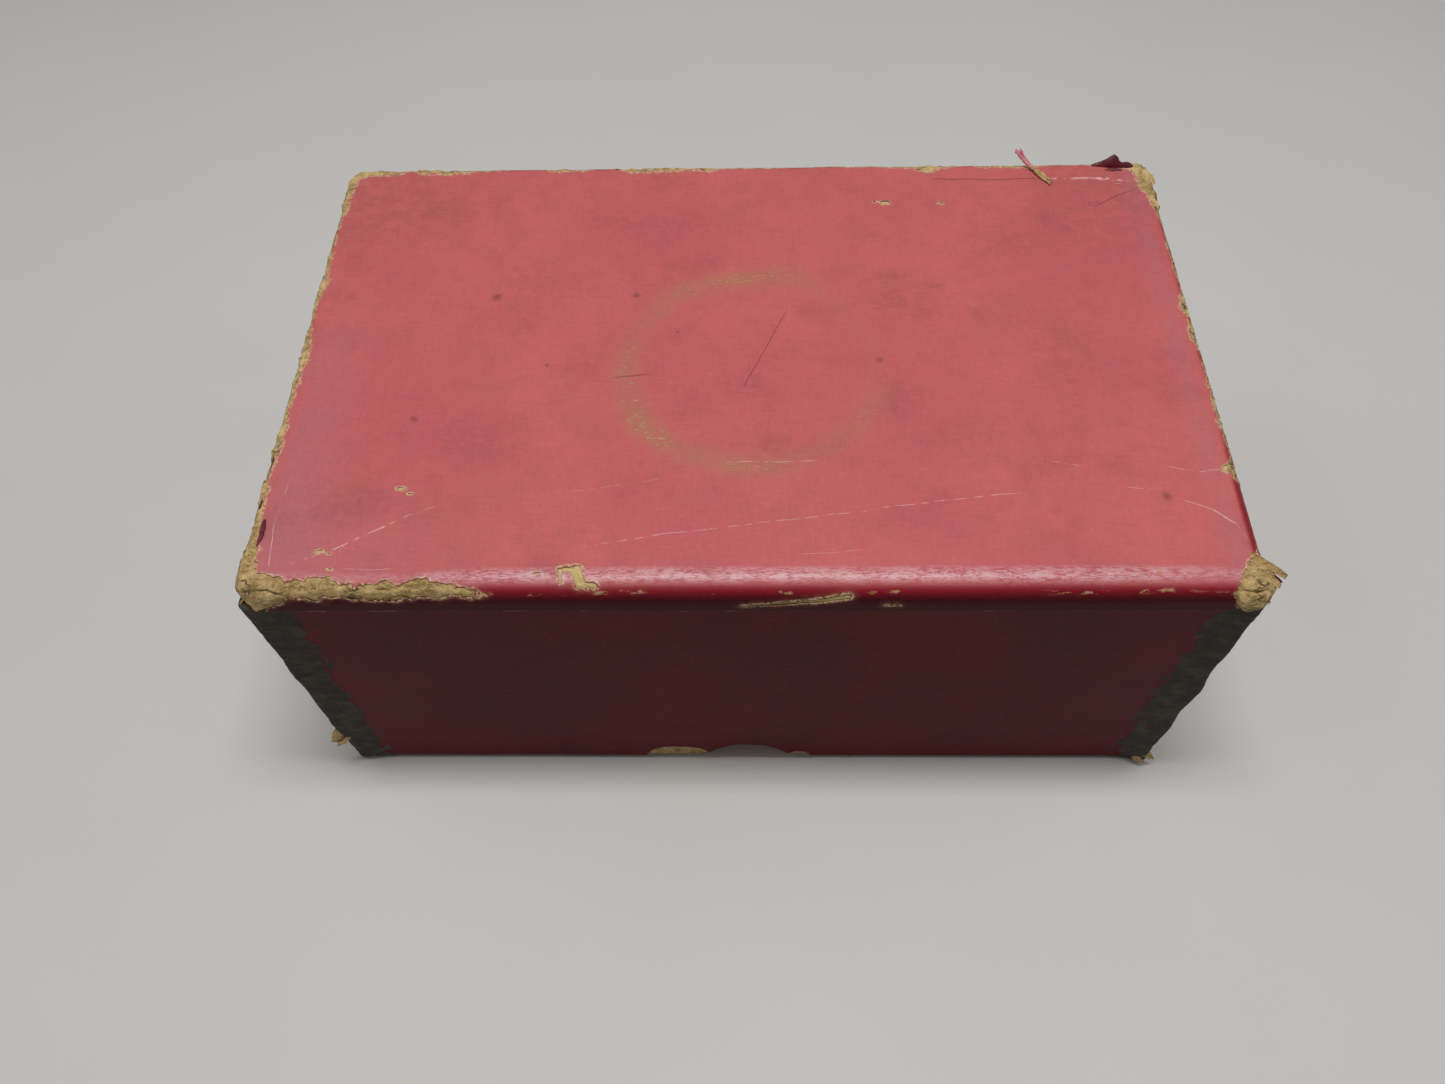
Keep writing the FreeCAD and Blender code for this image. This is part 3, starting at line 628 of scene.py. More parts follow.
def covering(name, faded_and_sheen):
    """Red leather-paper. The lid's top sheet is one kind, with the marks that only it has: its top is a pale
    pink that is partly faded red and partly a painted sheen, going to crimson and painted shade down its
    edges. The walls' sheets are the other kind: a deep, unfaded crimson, darkened further as painted shade.
    """
    n = Nodes(name)
    broad, mid, fine = n.noise(34, 3), n.noise(6, 4), n.noise(1.1, 3)
    if faded_and_sheen:
        up, shade, streak = n.split(n.attribute("shape"))
        marks, spots = n.split(n.attribute("marks")), n.attribute("spots")
        ring, torn, front = n.split(n.attribute("wear_and_sheen"))
        dusty, smudge_and_shade, pale = n.split(n.attribute("tone"))
        # the top's pale pink: partly faded red and partly a painted sheen
        faded_sheen_top = n.mix(n.ramp(broad, 0.36, 0.64), srgb(203, 102, 101), srgb(197, 96, 100))
        faded_sheen_top = n.tint(faded_sheen_top, srgb(184, 95, 97), n.ramp(mid, 0.42, 0.74), 0.5)
        faded_sheen_top = n.tint(faded_sheen_top, srgb(188, 112, 114), pale, 0.5)
        faded_sheen_top = n.tint(faded_sheen_top, srgb(180, 112, 120), dusty, n.ramp(mid, 0.2, 0.6, 0.3, 0.8))
        # smudges, and the painted shade at the back corners
        faded_sheen_top = n.tint(faded_sheen_top, srgb(132, 74, 72), smudge_and_shade, n.ramp(n.noise(2.4, 4), 0.3, 0.62))
        # below the pale top the red goes to crimson and then to painted shade down the rounding and the skirt
        colour = n.mix(up, n.mix(shade, srgb(140, 18, 36), srgb(74, 8, 18)), faded_sheen_top)
    else:
        # the walls: a deep, unfaded crimson, darkened further as painted shade
        colour = n.mix(n.ramp(broad, 0.3, 0.7), srgb(98, 23, 29), srgb(83, 18, 24))
        up = 0.0
    grime = n.ramp(n.noise(15, 5, rough=0.7), 0.50, 0.72)
    colour = n.tint(colour, srgb(118, 62, 62) if faded_and_sheen else srgb(70, 26, 30), grime, 0.17)
    weave = n.plus(n.noise(0.4, 2, (9, 1, 1)), n.noise(0.4, 2, (1, 9, 9)))
    colour = n.tint(colour, srgb(120, 52, 58), n.ramp(weave, 0.9, 1.25), 0.1)
    lighter = n.mix(up, srgb(170, 50, 62), srgb(224, 124, 122))
    colour = n.tint(colour, lighter, n.ramp(fine, 0.5, 0.8), 0.2)
    specks = n.ramp(n.noise(0.5, 2), 0.755, 0.79)
    colour = n.tint(colour, srgb(96, 36, 40), specks, n.ramp(n.noise(9, 2), 0.46, 0.7))
    if faded_and_sheen:
        # painted shade again over the lower rounding and the skirt
        colour = n.tint(colour, srgb(74, 8, 18), shade, 0.75)
    grain = n.plus(n.times(n.cells(0.42), 0.6), n.noise(0.3, 3))
    normal = n.bump(mid, 0.10, under=n.bump(grain, 0.022))
    rough = n.blend(fine, 0.44, 0.58)
    if not faded_and_sheen:
        return n.finish(Base_Color=colour, Roughness=rough, Normal=normal, Specular_IOR_Level=0.08)

    # the worn ring: a haze, and fine light strokes in it
    haze = n.ramp(n.noise(2.6, 5, rough=0.75), 0.24, 0.62)
    colour = n.tint(colour, srgb(176, 122, 90), ring, haze, 0.62)
    stroke = n.plus(n.noise(0.55, 5, (2.6, 0.8, 1), rough=0.8), n.times(ring, 0.17))
    picks = n.times(n.ramp(stroke, 0.66, 0.78), n.ramp(ring, 0.12, 0.45))
    colour = n.tint(colour, srgb(212, 178, 128), picks, 0.68)
    # fine hair scratches all over
    hairs = n.times(n.ramp(n.noise(0.5, 2, (26, 1, 1)), 0.72, 0.76), n.ramp(n.noise(12, 2), 0.48, 0.62))
    colour = n.tint(colour, srgb(228, 152, 146), hairs, up, 0.3)
    # scratches, creases with their pale lines partly a painted highlight, dark lines and spots
    shaky = n.plus(marks[0], n.times(n.math("SUBTRACT", n.noise(0.9, 3), 0.5), 2.6))
    line = n.ramp(n.math("ABSOLUTE", shaky), 1.25, 0.35)
    light = n.times(line, marks[1], n.ramp(n.noise(1.7, 3), 0.42, 0.56))
    reach = n.plus(n.vector("LENGTH", n.scaled(spots, (1, 1, 0))), n.times(n.noise(0.8, 4), 1.4))
    spot = n.times(n.ramp(reach, 1.95, 0.9), n.split(spots)[2])
    dark = n.math("MAXIMUM", n.times(line, marks[2]), spot)
    colour = n.tint(colour, srgb(238, 184, 176), light, 0.72)
    colour = n.tint(colour, srgb(84, 40, 42), dark, 0.42)
    # a bruised, darker rim beside the torn edges, and pale frayed fibres at them
    bruise = n.ramp(n.noise(1.4, 4), 0.3, 0.6)
    colour = n.tint(colour, srgb(168, 108, 92), n.ramp(torn, 0.25, 0.9), bruise, 0.5)
    fray = n.ramp(n.noise(0.5, 4, rough=0.75), 0.44, 0.56)
    colour = n.tint(colour, srgb(214, 186, 142), n.ramp(torn, 0.6, 0.82), fray, 0.85)
    # the front's burnished rounding, whose pale band is partly worn burnish and partly a painted highlight,
    # its rubbed ridge, and the streak of small chips below it
    silk = n.plus(n.times(n.noise(0.3, 4, (4.5, 1, 1), rough=0.8), 0.75), n.times(n.noise(4, 4), 0.3))
    colour = n.tint(colour, srgb(188, 108, 122), front, 0.35)
    colour = n.tint(colour, srgb(226, 186, 190), front, n.ramp(silk, 0.44, 0.6), 0.62)
    colour = n.tint(colour, srgb(156, 58, 76), front, n.ramp(silk, 0.52, 0.42), 0.42)
    ridge = n.ramp(n.split()[2], (TOP - 0.5) * MM, (TOP - 0.15) * MM)
    scuff = n.times(front, ridge, n.ramp(n.noise(0.7, 5, (2.6, 1, 1), rough=0.8), 0.50, 0.62),
                    n.ramp(n.noise(9, 2, (1.6, 1, 1)), 0.5, 0.66))
    dashes = n.times(streak, n.ramp(n.noise(1.0, 4, (3.5, 1, 1), rough=0.7), 0.56, 0.62),
                     n.ramp(n.noise(14, 1), 0.42, 0.55))
    colour = n.tint(colour, srgb(200, 164, 122), n.math("MAXIMUM", scuff, dashes), 0.78)
    height = n.math("SUBTRACT", n.times(light, 0.5), n.plus(dark, n.times(picks, 0.4)))
    return n.finish(Base_Color=colour, Roughness=n.blend(front, rough, 0.33),
                    Normal=n.bump(height, 0.1, under=normal), Specular_IOR_Level=n.blend(shade, 0.24, 0.08))


def wobble(n, size, amount):
    """A vector that moves marks about by up to amount millimetres."""
    made = n.node("ShaderNodeTexNoise")
    n.link(n.coord, made.inputs["Vector"])
    made.inputs["Scale"].default_value = 1 / (size * MM)
    centred = n.vector("SUBTRACT", made.outputs["Color"], (0.5, 0.5, 0.5))
    return n.scaled(centred, (2 * amount * MM,) * 3)


def pulp(name, light, mid, dark):
    """Fibrous pulp board, with clumps, cracks and flecks, and fresh board where the mesh is painted so."""
    n = Nodes(name)
    fibres = n.noise(0.7, 6, (1.8, 1.2, 0.7), rough=0.78, warp=0.8)
    hairs = n.noise(0.22, 3, (4, 1.5, 0.8), rough=0.6, warp=0.6)
    clumps = n.noise(3.0, 4, rough=0.6)
    colour = n.mix(n.ramp(fibres, 0.34, 0.66), dark, mid)
    colour = n.tint(colour, light, n.ramp(clumps, 0.42, 0.7), 0.8)
    colour = n.tint(colour, light, n.ramp(hairs, 0.5, 0.7), 0.4)
    moved = n.vector("ADD", n.coord, wobble(n, 1.4, 0.7))
    cracks = n.ramp(n.cells(2.6, "DISTANCE_TO_EDGE", (5, 1.6, 0.5), moved), 0.05, 0.015)
    cracks = n.times(cracks, n.ramp(n.noise(4.5, 3), 0.53, 0.62))
    colour = n.tint(colour, srgb(62, 42, 22), cracks, 0.75)
    colour = n.tint(colour, srgb(104, 74, 40), n.ramp(n.noise(0.45, 2), 0.70, 0.76), 0.4)
    fresh = n.mix(fibres, srgb(220, 190, 118), srgb(240, 218, 158))
    colour = n.tint(colour, fresh, n.split(n.attribute("fresh"))[0], 0.8)
    height = n.plus(n.plus(fibres, n.times(hairs, 0.4)), n.times(clumps, 0.8))
    return n.finish(Base_Color=colour, Roughness=0.93, Normal=n.bump(n.math("SUBTRACT", height, cracks), 0.4),
                    Specular_IOR_Level=0.2, Sheen_Weight=0.12, Sheen_Roughness=0.6)


def paper(name, colour_a, colour_b, roughness, spots=0.0, grain=0.03):
    """Plain or coated paper with a little mottling."""
    n = Nodes(name)
    mottle = n.plus(n.times(n.noise(26, 4), 0.6), n.times(n.noise(2.4, 4), 0.4))
    colour = n.mix(n.ramp(mottle, 0.35, 0.65), colour_a, colour_b)
    if spots:
        fox = n.times(n.ramp(n.noise(2.6, 3), 0.66, 0.76), n.ramp(n.noise(22, 2), 0.45, 0.65))
        colour = n.tint(colour, srgb(142, 96, 52), fox, spots)
    fibres = n.noise(0.28, 4, (1.6, 1.6, 1.6), rough=0.7)
    return n.finish(Base_Color=colour, Roughness=roughness, Normal=n.bump(fibres, grain))


def lit(colour, gain):
    """A linear colour made lighter."""
    return tuple(min(1, gain * c) for c in colour)


def velvet(name, colour_a, colour_b):
    n = Nodes(name)
    nap, pile = n.noise(6, 4, rough=0.6), n.noise(0.18, 2)
    colour = n.mix(n.ramp(nap, 0.35, 0.68), colour_a, colour_b)
    colour = n.tint(colour, lit(colour_b, 1.8), n.ramp(pile, 0.45, 0.7), 0.35)
    normal = n.bump(nap, 0.25, under=n.bump(pile, 0.09))
    return n.finish(Base_Color=colour, Roughness=0.9, Normal=normal, Sheen_Weight=0.75, Sheen_Roughness=0.35,
                    Sheen_Tint=(0.9, 0.35, 0.38), Specular_IOR_Level=0.15)


def satin(name, colour_a, colour_b, thread=0.16, stretch=(1, 26, 26)):
    """Woven satin: long floats one way, with a soft sheen."""
    n = Nodes(name)
    floats = n.noise(thread, 2, stretch)
    colour = n.mix(n.ramp(n.noise(14, 3), 0.35, 0.65), colour_a, colour_b)
    colour = n.tint(colour, lit(colour_b, 1.25), n.ramp(floats, 0.4, 0.62), 0.3)
    return n.finish(Base_Color=colour, Roughness=0.36, Normal=n.bump(floats, 0.03), Sheen_Weight=0.35,
                    Sheen_Roughness=0.4, Anisotropic=0.5)


RED_TOP = covering("red_top_sheet", faded_and_sheen=True)
RED_WALL = covering("red_wall_sheet", faded_and_sheen=False)
RED_LOOSE = paper("red_loose_flakes", srgb(108, 18, 34), srgb(78, 10, 22), 0.55)
RED_TOP_LOOSE = paper("red_faded_flakes", srgb(204, 128, 134), srgb(172, 76, 88), 0.5)
PULP = pulp("pulp_board", srgb(244, 212, 148), srgb(212, 178, 116), srgb(136, 102, 58))
# dark grey-brown board for the bared upright corners: dirty, and darkened further as painted shade
TAPE = pulp("stay_tape", srgb(88, 78, 62), srgb(64, 57, 46), srgb(40, 36, 30))
LINING = paper("lining_paper", srgb(226, 212, 184), srgb(212, 194, 160), 0.8, spots=0.6)
BASE_PAPER = paper("base_paper", srgb(132, 16, 32), srgb(112, 10, 24), 0.42, grain=0.05)
CARD = paper("plain_card", srgb(206, 188, 156), srgb(190, 168, 132), 0.85, spots=0.3, grain=0.05)
VELVET = velvet("velvet", srgb(112, 12, 30), srgb(146, 22, 44))
SATIN = satin("lid_satin", srgb(232, 218, 190), srgb(214, 194, 158))
RIBBON = satin("ribbon", srgb(168, 22, 44), srgb(188, 36, 58), thread=0.2, stretch=(40, 1, 40))


# ---------------------------------------------------------------- the lid's top: board and sheet

LIP = 0.55  # thickness of the board layers behind the skirt
LIP_BELOW = 0.4  # how far they reach below the skirt before they are tucked up


def wear_field(points, normals, q, across):
    """Distance from the nearest torn edge of the top sheet, in millimetres; negative where it is gone."""
    corner = smooth(52, 20, np.hypot(points[:, 0] + HALF_W, 3 * (points[:, 1] + HALF_D)))
    rag = (0.7 + 0.2 * corner) * fbm(points, 1.9, 3, 3) + (0.5 + 0.3 * corner) * fbm(points, 0.8, 2, 9)
    patch = 0.3 * noise(points, 6.5, 19)
    field = edge_strip(points, q, across) + (rag + patch) * smooth(7.5, 4.5, np.abs(q))
    rag = 0.5 * rag
    front = (across > 0.5) & (points[:, 1] < 0)
    for start, end, half in FRONT_MARKS:
        gap = segment_gap(points[:, 0] + 0.3 * rag, q + 0.35 * rag, start, end) - half
        field = np.where(front, np.minimum(field, gap), field)
    on_top = normals[:, 2] > 0.99
    for (x, y), radius in CHIPS:
        gap = np.hypot(points[:, 0] - x, 1.8 * (points[:, 1] - y)) - radius + 0.7 * rag
        field = np.where(on_top, np.minimum(field, gap), field)
    return field


def near_corner(points, sx, sy, size):
    return smooth(size, 1.5, np.hypot(points[:, 0] - sx * HALF_W, points[:, 1] - sy * HALF_D))


def make_crown_board():
    """The top board with its bruised, fibrous edges, and the thin lip of board layers behind the skirt."""
    ring = edge_ring(32, TOP - SKIRT_Z + LIP_BELOW)
    count = ring[-1]
    rim = np.arange(len(ring[0]))[-count:]
    points, normals, q, across, tris = with_middle(ring, CHIPS)
    field = wear_field(points, normals, q, across)
    bare = smooth(0.6, -0.2, field)
    deep = smooth(-0.2, -1.6, field)
    corner = 0.0
    for sx, sy, size, amount in ((-1, -1, 13, 1), (1, -1, 9, 0.8), (1, 1, 8, 0.7), (-1, 1, 6, 0.3)):
        corner = np.maximum(corner, amount * near_corner(points, sx, sy, size))
    along = np.where(across > 0.5, points[:, 0], points[:, 1])
    line = stacked(along, 0 * along, 0 * along)
    lumps = fbm(points, 3.4, 3, 11)
    fibres = fbm(points, (1.5, 0.8, 0.5), 3, 23)
    coarse = fbm(points, (1.5, 1.0, 1.0), 3, 29)
    # two wavy splits between the board's layers, and a step where its upper layers end
    wave = 0.8 * noise(line, 7.0, 41) + 0.25 * noise(line, 1.7, 43)
    split_1 = smooth(0.30, 0.05, np.abs(q - wave + 0.9)) * smooth(-0.15, 0.2, noise(line, 7.5, 77))
    split_2 = smooth(0.26, 0.05, np.abs(q - 1.2 * wave - 0.9)) * smooth(-0.05, 0.3, noise(line, 6.0, 78))
    crack = np.maximum(split_1, split_2)
    step = 0.16 * np.tanh((q - wave + 0.9) * 6)
    lift = -COVER - 0.03 + bare * 0.33
    lift += deep * (0.12 + 0.34 * lumps + 0.22 * fibres + 0.3 * coarse + 0.42 * corner - 0.7 * crack + step)
    points = points + normals * (lift + swell(points))[:, None]
    flare = deep * near_corner(points, 1, -1, 7.5) * (1.5 + 0.5 * lumps)
    points = points + normals * [1, 1, 0.25] * flare[:, None]
    on_front = (across > 0.5) & (points[:, 1] < 0)
    # the lip shows under the skirt only in front, and only here and there
    hidden = np.where(on_front, smooth(0.35, 0.1, noise(line, 9, 79)), 1.0)
    tucked = smooth(SKIRT_Z + 0.5, SKIRT_Z - 0.3, points[:, 2]) * (1 - bare) * hidden
    points[:, 2] += 0.6 * tucked
    fresh = np.zeros(len(points))
    for start, end, half in FRONT_MARKS:
        gap = segment_gap(points[:, 0], q, start, end)
        fresh = np.maximum(fresh, on_front * smooth(half + 1.0, half, gap))
    for (x, y), radius in CHIPS:
        gap = np.hypot(points[:, 0] - x, points[:, 1] - y)
        fresh = np.maximum(fresh, 0.8 * smooth(radius + 0.8, radius, gap))
    # the lip's underside and inner face, then the board's flat underside
    inner = points[rim] - normals[rim] * LIP
    upper = inner.copy()
    upper[:, 2] = board_low[2]
    first = len(points) + np.arange(count)
    faces = tris.tolist()
    for lower, higher in ((rim, first), (first, first + count)):
        after = np.roll(np.arange(count), -1)
        faces += stacked(lower[after], lower, higher, higher[after]).tolist()
    faces.append((first + count)[::-1].tolist())
    fresh = np.concatenate([fresh, np.zeros(2 * count)])
    make_object("top_board", np.concatenate([points, inner, upper]), faces, PULP, "lid", "pulp_board",
                ["lid_top_board"], paint={"fresh": np.stack([fresh] * 3, axis=1)})


def make_top_sheet():
    """The red sheet over the top, cut away where it is worn, and thin at its torn edges."""
    points, normals, q, across, tris = with_middle(edge_ring(31, TOP - SKIRT_Z), CHIPS)
    field = wear_field(points, normals, q, across)
    paint = top_paint(points, normals, field, q, across)
    tris, arrays = clip(tris, field, points, normals, field[:, None], *paint.values())
    points, normals, field = arrays[:3]
    # the sheet's back has the same paint as its face
    paint = {key: np.concatenate([value, value]) for key, value in zip(paint, arrays[3:])}
    field = field[:, 0]
    torn = np.exp(-np.clip(field, 0, 4) / 0.55)
    curl = 0.5 + 0.5 * fbm(points, 3.2, 2, 55)
    sag = -0.25 * smooth(80, 10, np.hypot(points[:, 0], 1.5 * points[:, 1])) * (normals[:, 2] > 0.99)
    ripple = 0.07 * fbm(points, 9, 3, 61)
    lift = torn * 0.22 * curl + swell(points) + ripple + sag
    thick = 0.12 + (COVER - 0.17) * smooth(0.0, 1.0, field)
    both, tris = shell(points + normals * lift[:, None], normals, tris, thick[:, None])
    make_object("top_sheet", both, tris, RED_TOP, "lid", "red_covering", ["lid_top_cover"], paint=paint)


make_crown_board()
make_top_sheet()


# ---------------------------------------------------------------- the lid's walls

FOLD = 0.6  # radius of a wall sheet's folds round the rim
UNDER_SKIRT = 3.0  # how far it reaches up behind the skirt
WALL_THICK = 0.34
LINING_FOOT = box_mm("lid_lining")[0][2] - 0.05
SHORT = 4.4  # how far a wall sheet's ends stop before the corners
NOTCH_Z, NOTCH_RADIUS = -2.2, 10.0
NOTCH_CHIPS = ((15.6, 7.6, 5.6), (-11.6, 2.8, 3.0))  # beside the front notch: place, half-width, height


def make_wall_sheet(side, seed, turned):
    """A wall's covering, as far as the bared corners, folded round the rim and up the inside.

    It is made as the back wall's, with its outside towards +Y, and then turned.
    """
    wide = side in ("front", "back")
    across, deep = (HALF_W, HALF_D) if wide else (HALF_D, HALF_W)
    half, plane = across - SHORT, deep - COVER
    inner = -cover_high[1] if wide else deep - 3.6
    top_z, fold = SKIRT_Z + UNDER_SKIRT, FOLD * QUARTER
    lengths = [top_z - RIM_Z - FOLD, fold, plane - inner - 2 * FOLD, fold, LINING_FOOT - RIM_Z - FOLD]
    total = sum(lengths)
    s = np.linspace(0, total, round(total / 0.7) + 1)
    marks = np.cumsum([0, *lengths])
    outward = np.interp(s, marks, [plane, plane, plane - FOLD, inner + FOLD, inner, inner])
    height = np.interp(s, marks, [top_z, RIM_Z + FOLD, RIM_Z, RIM_Z, RIM_Z + FOLD, LINING_FOOT])
    for k, centre, start in ((1, plane - FOLD, 0), (3, inner + FOLD, QUARTER)):
        on = (s >= marks[k]) & (s <= marks[k + 1])
        turn = (s[on] - marks[k]) / FOLD + start
        outward[on] = centre + FOLD * np.cos(turn)
        height[on] = RIM_Z + FOLD - FOLD * np.sin(turn)
    slope = np.arctan2(np.gradient(height), np.gradient(outward))
    along = np.linspace(-half, half, round(2 * half / 0.8) + 1)
    a, k = pairs(along, np.arange(len(s)))
    points = stacked(a, outward[k], height[k])
    normals = stacked(0 * a, -np.sin(slope)[k], np.cos(slope)[k])
    above_rim = points[:, 2] - RIM_Z
    # field is the distance from the nearest torn edge: the ends, the chewed rim, the notch and its chips
    outer = smooth(inner + 0.3, plane - 0.3, points[:, 1])
    rag = 0.9 * fbm(points, 5, 3, seed) + 0.3 * fbm(points, 1.3, 2, seed + 7)
    bare = 6.4 + 1.3 * noise(points, 14, seed + 9)
    field = (across - bare - np.abs(a) + rag) * outer + (half - 0.5 - np.abs(a)) * (1 - outer)
    chew = noise(points, 11, seed + 33) + 0.4 * noise(points, 3, seed + 34)
    rim = above_rim + 0.9 * fbm(points, 4, 3, seed + 20) + 1.7 - 2.4 * smooth(0.45, 0.9, chew)
    field = np.minimum(field, rim)
    if wide:
        field = np.minimum(field, np.hypot(a, points[:, 2] - NOTCH_Z) - NOTCH_RADIUS + 0.06 * rag)
    for place, reach, tall in NOTCH_CHIPS if side == "front" else ():
        chip = np.hypot((a - place) / reach, above_rim / tall) - 1
        field = np.where(outer > 0.5, np.minimum(field, 3 * chip + 0.35 * rag), field)
    tris, (points, normals, field) = clip(halves(grid_quads(len(s), len(along))), field, points, normals,
                                          field[:, None])
    edge = np.exp(-np.clip(field[:, 0], 0, 4) / 0.6) * (points[:, 1] > plane - 0.5)
    lift = 0.22 * edge * (0.5 + 0.5 * fbm(points, 4, 2, seed + 50)) + 0.05 * fbm(points, 12, 2, seed + 60)
    points = points + normals * (lift * (points[:, 1] > inner + 0.2))[:, None]
    both, tris = shell(points, normals, tris, WALL_THICK)
    cos, sin = round(math.cos(math.radians(turned))), round(math.sin(math.radians(turned)))
    both = both @ np.array([[cos, sin, 0], [-sin, cos, 0], [0, 0, 1]])
    make_object(f"{side}_sheet", both, tris, RED_WALL, "lid", "red_covering", [f"lid_{side}_cover"])


for side, seed, turned in (("front", 101, 180), ("back", 202, 0), ("left", 303, 90), ("right", 404, -90)):
    make_wall_sheet(side, seed, turned)


BAND_LEG, BAND_RADIUS = 9.4, 1.3
BAND_THICK = 0.16


def make_corner_bands():
    """Bared tape and board round each upright corner, with torn, fibrous faces."""
    arc = BAND_RADIUS * QUARTER
    whole = 2 * BAND_LEG + arc
    s = np.linspace(0, whole, round(whole / 0.42) + 1)
    turn = np.clip((s - BAND_LEG) / BAND_RADIUS, 0, QUARTER)
    px = BOARD_W + 0.1 - BAND_RADIUS + BAND_RADIUS * np.cos(turn)
    py = BOARD_D + 0.1 - BAND_RADIUS + BAND_RADIUS * np.sin(turn) - np.maximum(BAND_LEG - s, 0)
    px = px - np.maximum(s - BAND_LEG - arc, 0)
    heights = np.linspace(front_low[2] - 0.2, TOP - 5.0, 150)
    k, z = pairs(np.arange(len(s)), heights)
    columns = len(s)
    s, px, py, nx, ny = (values[k] for values in (s, px, py, np.cos(turn), np.sin(turn)))
    from_end = np.minimum(s, whole - s)
    from_middle = np.abs(s - BAND_LEG - arc / 2)
    parts = []
    for corner, (sx, sy) in enumerate(((-1, -1), (1, -1), (1, 1), (-1, 1))):
        points = stacked(sx * px, sy * py, z)
        normals = stacked(sx * nx, sy * ny, 0 * z)
        torn = fbm(points, (2.0, 2.0, 3.4), 4, 500 + corner)
        plies = noise(points, (5, 5, 1.1), 520 + corner)
        lift = -0.02 + smooth(1.6, 3.4, from_end) * (0.34 + 0.30 * torn + 0.09 * plies)
        points = points + normals * lift[:, None]
        # the bands stand out most at the front corners
        splay = (1.15 if sx > 0 else 0.75 + 0.005 * z) if sy < 0 else 0.5
        splay = splay * (0.9 + 0.3 * noise(points, (9, 9, 9), 540 + corner)) * smooth(6.5, 0.8, from_middle)
        points = points + [sx, sy, 0] * splay[:, None]
        tris = halves(grid_quads(len(heights), columns))
        if sx * sy < 0:
            tris = tris[:, ::-1]
        both, tris = shell(points, normals, tris, 0.0)
        both[len(points):] = stacked(sx * (px - BAND_THICK * nx), sy * (py - BAND_THICK * ny), z)
        parts.append((both, tris))
    make_object("corner_bands", *joined(parts), TAPE, "lid", "stay_tape", ["lid_corner_stays"])


make_corner_bands()


# ---------------------------------------------------------------- loose flakes and tufts on the lid

def strip(seed, path, widths, side, bend=0.0, ragged=0.3, thick=0.25):
    """A torn strip along a path: closed points and triangles. side is the way its width runs."""
    path, side = np.array(path, float), np.array(side, float)
    places = range(len(path))
    t = np.linspace(0, places[-1], 6 * len(path))
    centre = stacked(*(np.interp(t, places, line) for line in path.T))
    width = np.interp(t, places, widths)
    across = np.linspace(-1, 1, 9)
    face = unit(np.cross(np.gradient(centre, axis=0), side))
    points = centre[:, None] + across[None, :, None] * width[:, None, None] * side / 2
    points = points + (bend * (across**2)[None, :, None]) * face[:, None]
    points = points.reshape(-1, 3)
    normals = np.repeat(face, len(across), axis=0)
    points = points + normals * (0.22 * fbm(points, 1.6, 2, seed))[:, None]
    from_end = np.repeat(np.minimum(t, t[-1] - t), len(across)) / 0.5
    edge = np.minimum(1 - np.abs(np.tile(across, len(t))), from_end)
    field = edge * np.repeat(width, len(across)) / 2 - 0.06 + ragged * fbm(points, 0.9, 2, seed + 5)
    tris, (points, normals) = clip(halves(grid_quads(len(t), len(across))), field, points, normals)
    return shell(points, normals, tris, thick)


def make_strips(name, parts, material, slot):
    """Strips as one piece; each part is a path, widths along it, side, and perhaps bend, ragged and thick."""
    parts = [strip(900 + 13 * k + len(name), *values) for k, values in enumerate(parts)]
    make_object(name, *joined(parts), material, "lid", slot)


# The sliver lying across the back edge has a red end and a tan end.
make_strips("sliver_red_end", [
    ([(62.9, 51.8, 76.8), (61, 54.2, 77.5), (59.2, 56.2, 78.1)], [0.8, 1.2, 0.9], (0.8, 0.5, 0.3), 0.15),
    ([(61.6, 53.8, 77.3), (60.9, 55.6, 78), (60.3, 57, 78.3)], [0.5, 0.6, 0.3], (0.8, 0.5, 0.3), 0.1),
], RED_TOP_LOOSE, "red_covering")
make_strips("sliver_tan_end", [
    ([(66.4, 46.9, 76.25), (64.9, 49.2, 76.4), (62.9, 51.9, 76.75), (61.6, 53.6, 77.1)],
     [0.3, 1, 0.9, 0.4], (0.8, 0.5, 0.1), 0.15),
    ([(66.8, 47.6, 76.2), (64.9, 50.1, 76.5), (63.6, 52, 76.7)], [0.4, 0.7, 0.3], (0.8, 0.5, 0.3)),
], PULP, "pulp_board")
# the curled flap at the back right corner, smaller flaps along the torn edges, and two dark slivers that are
# painted shade: one in a crack at the left edge, one in the hollow under the front right corner's plies
make_strips("curled_flaps", [
    ([(76, 53.2, 76), (77.6, 53.1, 76.3), (79.4, 52.9, 76.9), (80.8, 53, 77.3), (82.4, 52.6, 76.7),
      (84.2, 52.8, 76.4), (85.6, 52.9, 75.9)],
     [0.4, 1.2, 2.2, 3.1, 1.9, 1.6, 0.5], (0, 0.5, 0.86), -0.3, 0.55),
    ([(78.8, 51.9, 76), (81, 51.8, 76.3), (83.4, 51.6, 75.9)], [0.4, 1.2, 0.4], (0, 0.9, 0.4), -0.2),
    ([(-86.3, -45.6, 75.8), (-85.9, -43.4, 76.1), (-86, -41.4, 76.1), (-86.2, -39.8, 75.9)],
     [0.3, 0.9, 1, 0.3], (0.9, 0, 0.4), -0.2),
    # painted shade: a dark sliver in a crack along the left edge
    ([(-88.1, -22.5, 75.2), (-88.2, -26, 75.5), (-88.5, -30.5, 75.1)],
     [0.2, 0.55, 0.2], (0.7, 0, 0.7), 0, 0.15),
    ([(-88.3, -33, 75.1), (-88.2, -36, 75.4), (-88.3, -39.5, 75.1)], [0.3, 0.9, 0.3], (0.7, 0, 0.7), 0, 0.25),
    # painted shade: a dark flake in the hollow under the two splayed plies
    ([(86.2, -48.2, 75), (88.6, -50.5, 75.1), (90.8, -52.9, 74.9)], [1, 2.4, 1], (0.55, 0.6, 0.4), 0, 0.2),
    ([(-30.5, 53.6, 75.7), (-28.8, 53.4, 76), (-27, 53.7, 75.6)], [0.3, 1.1, 0.3], (0, 0.8, 0.6), -0.2),
], RED_LOOSE, "red_covering")
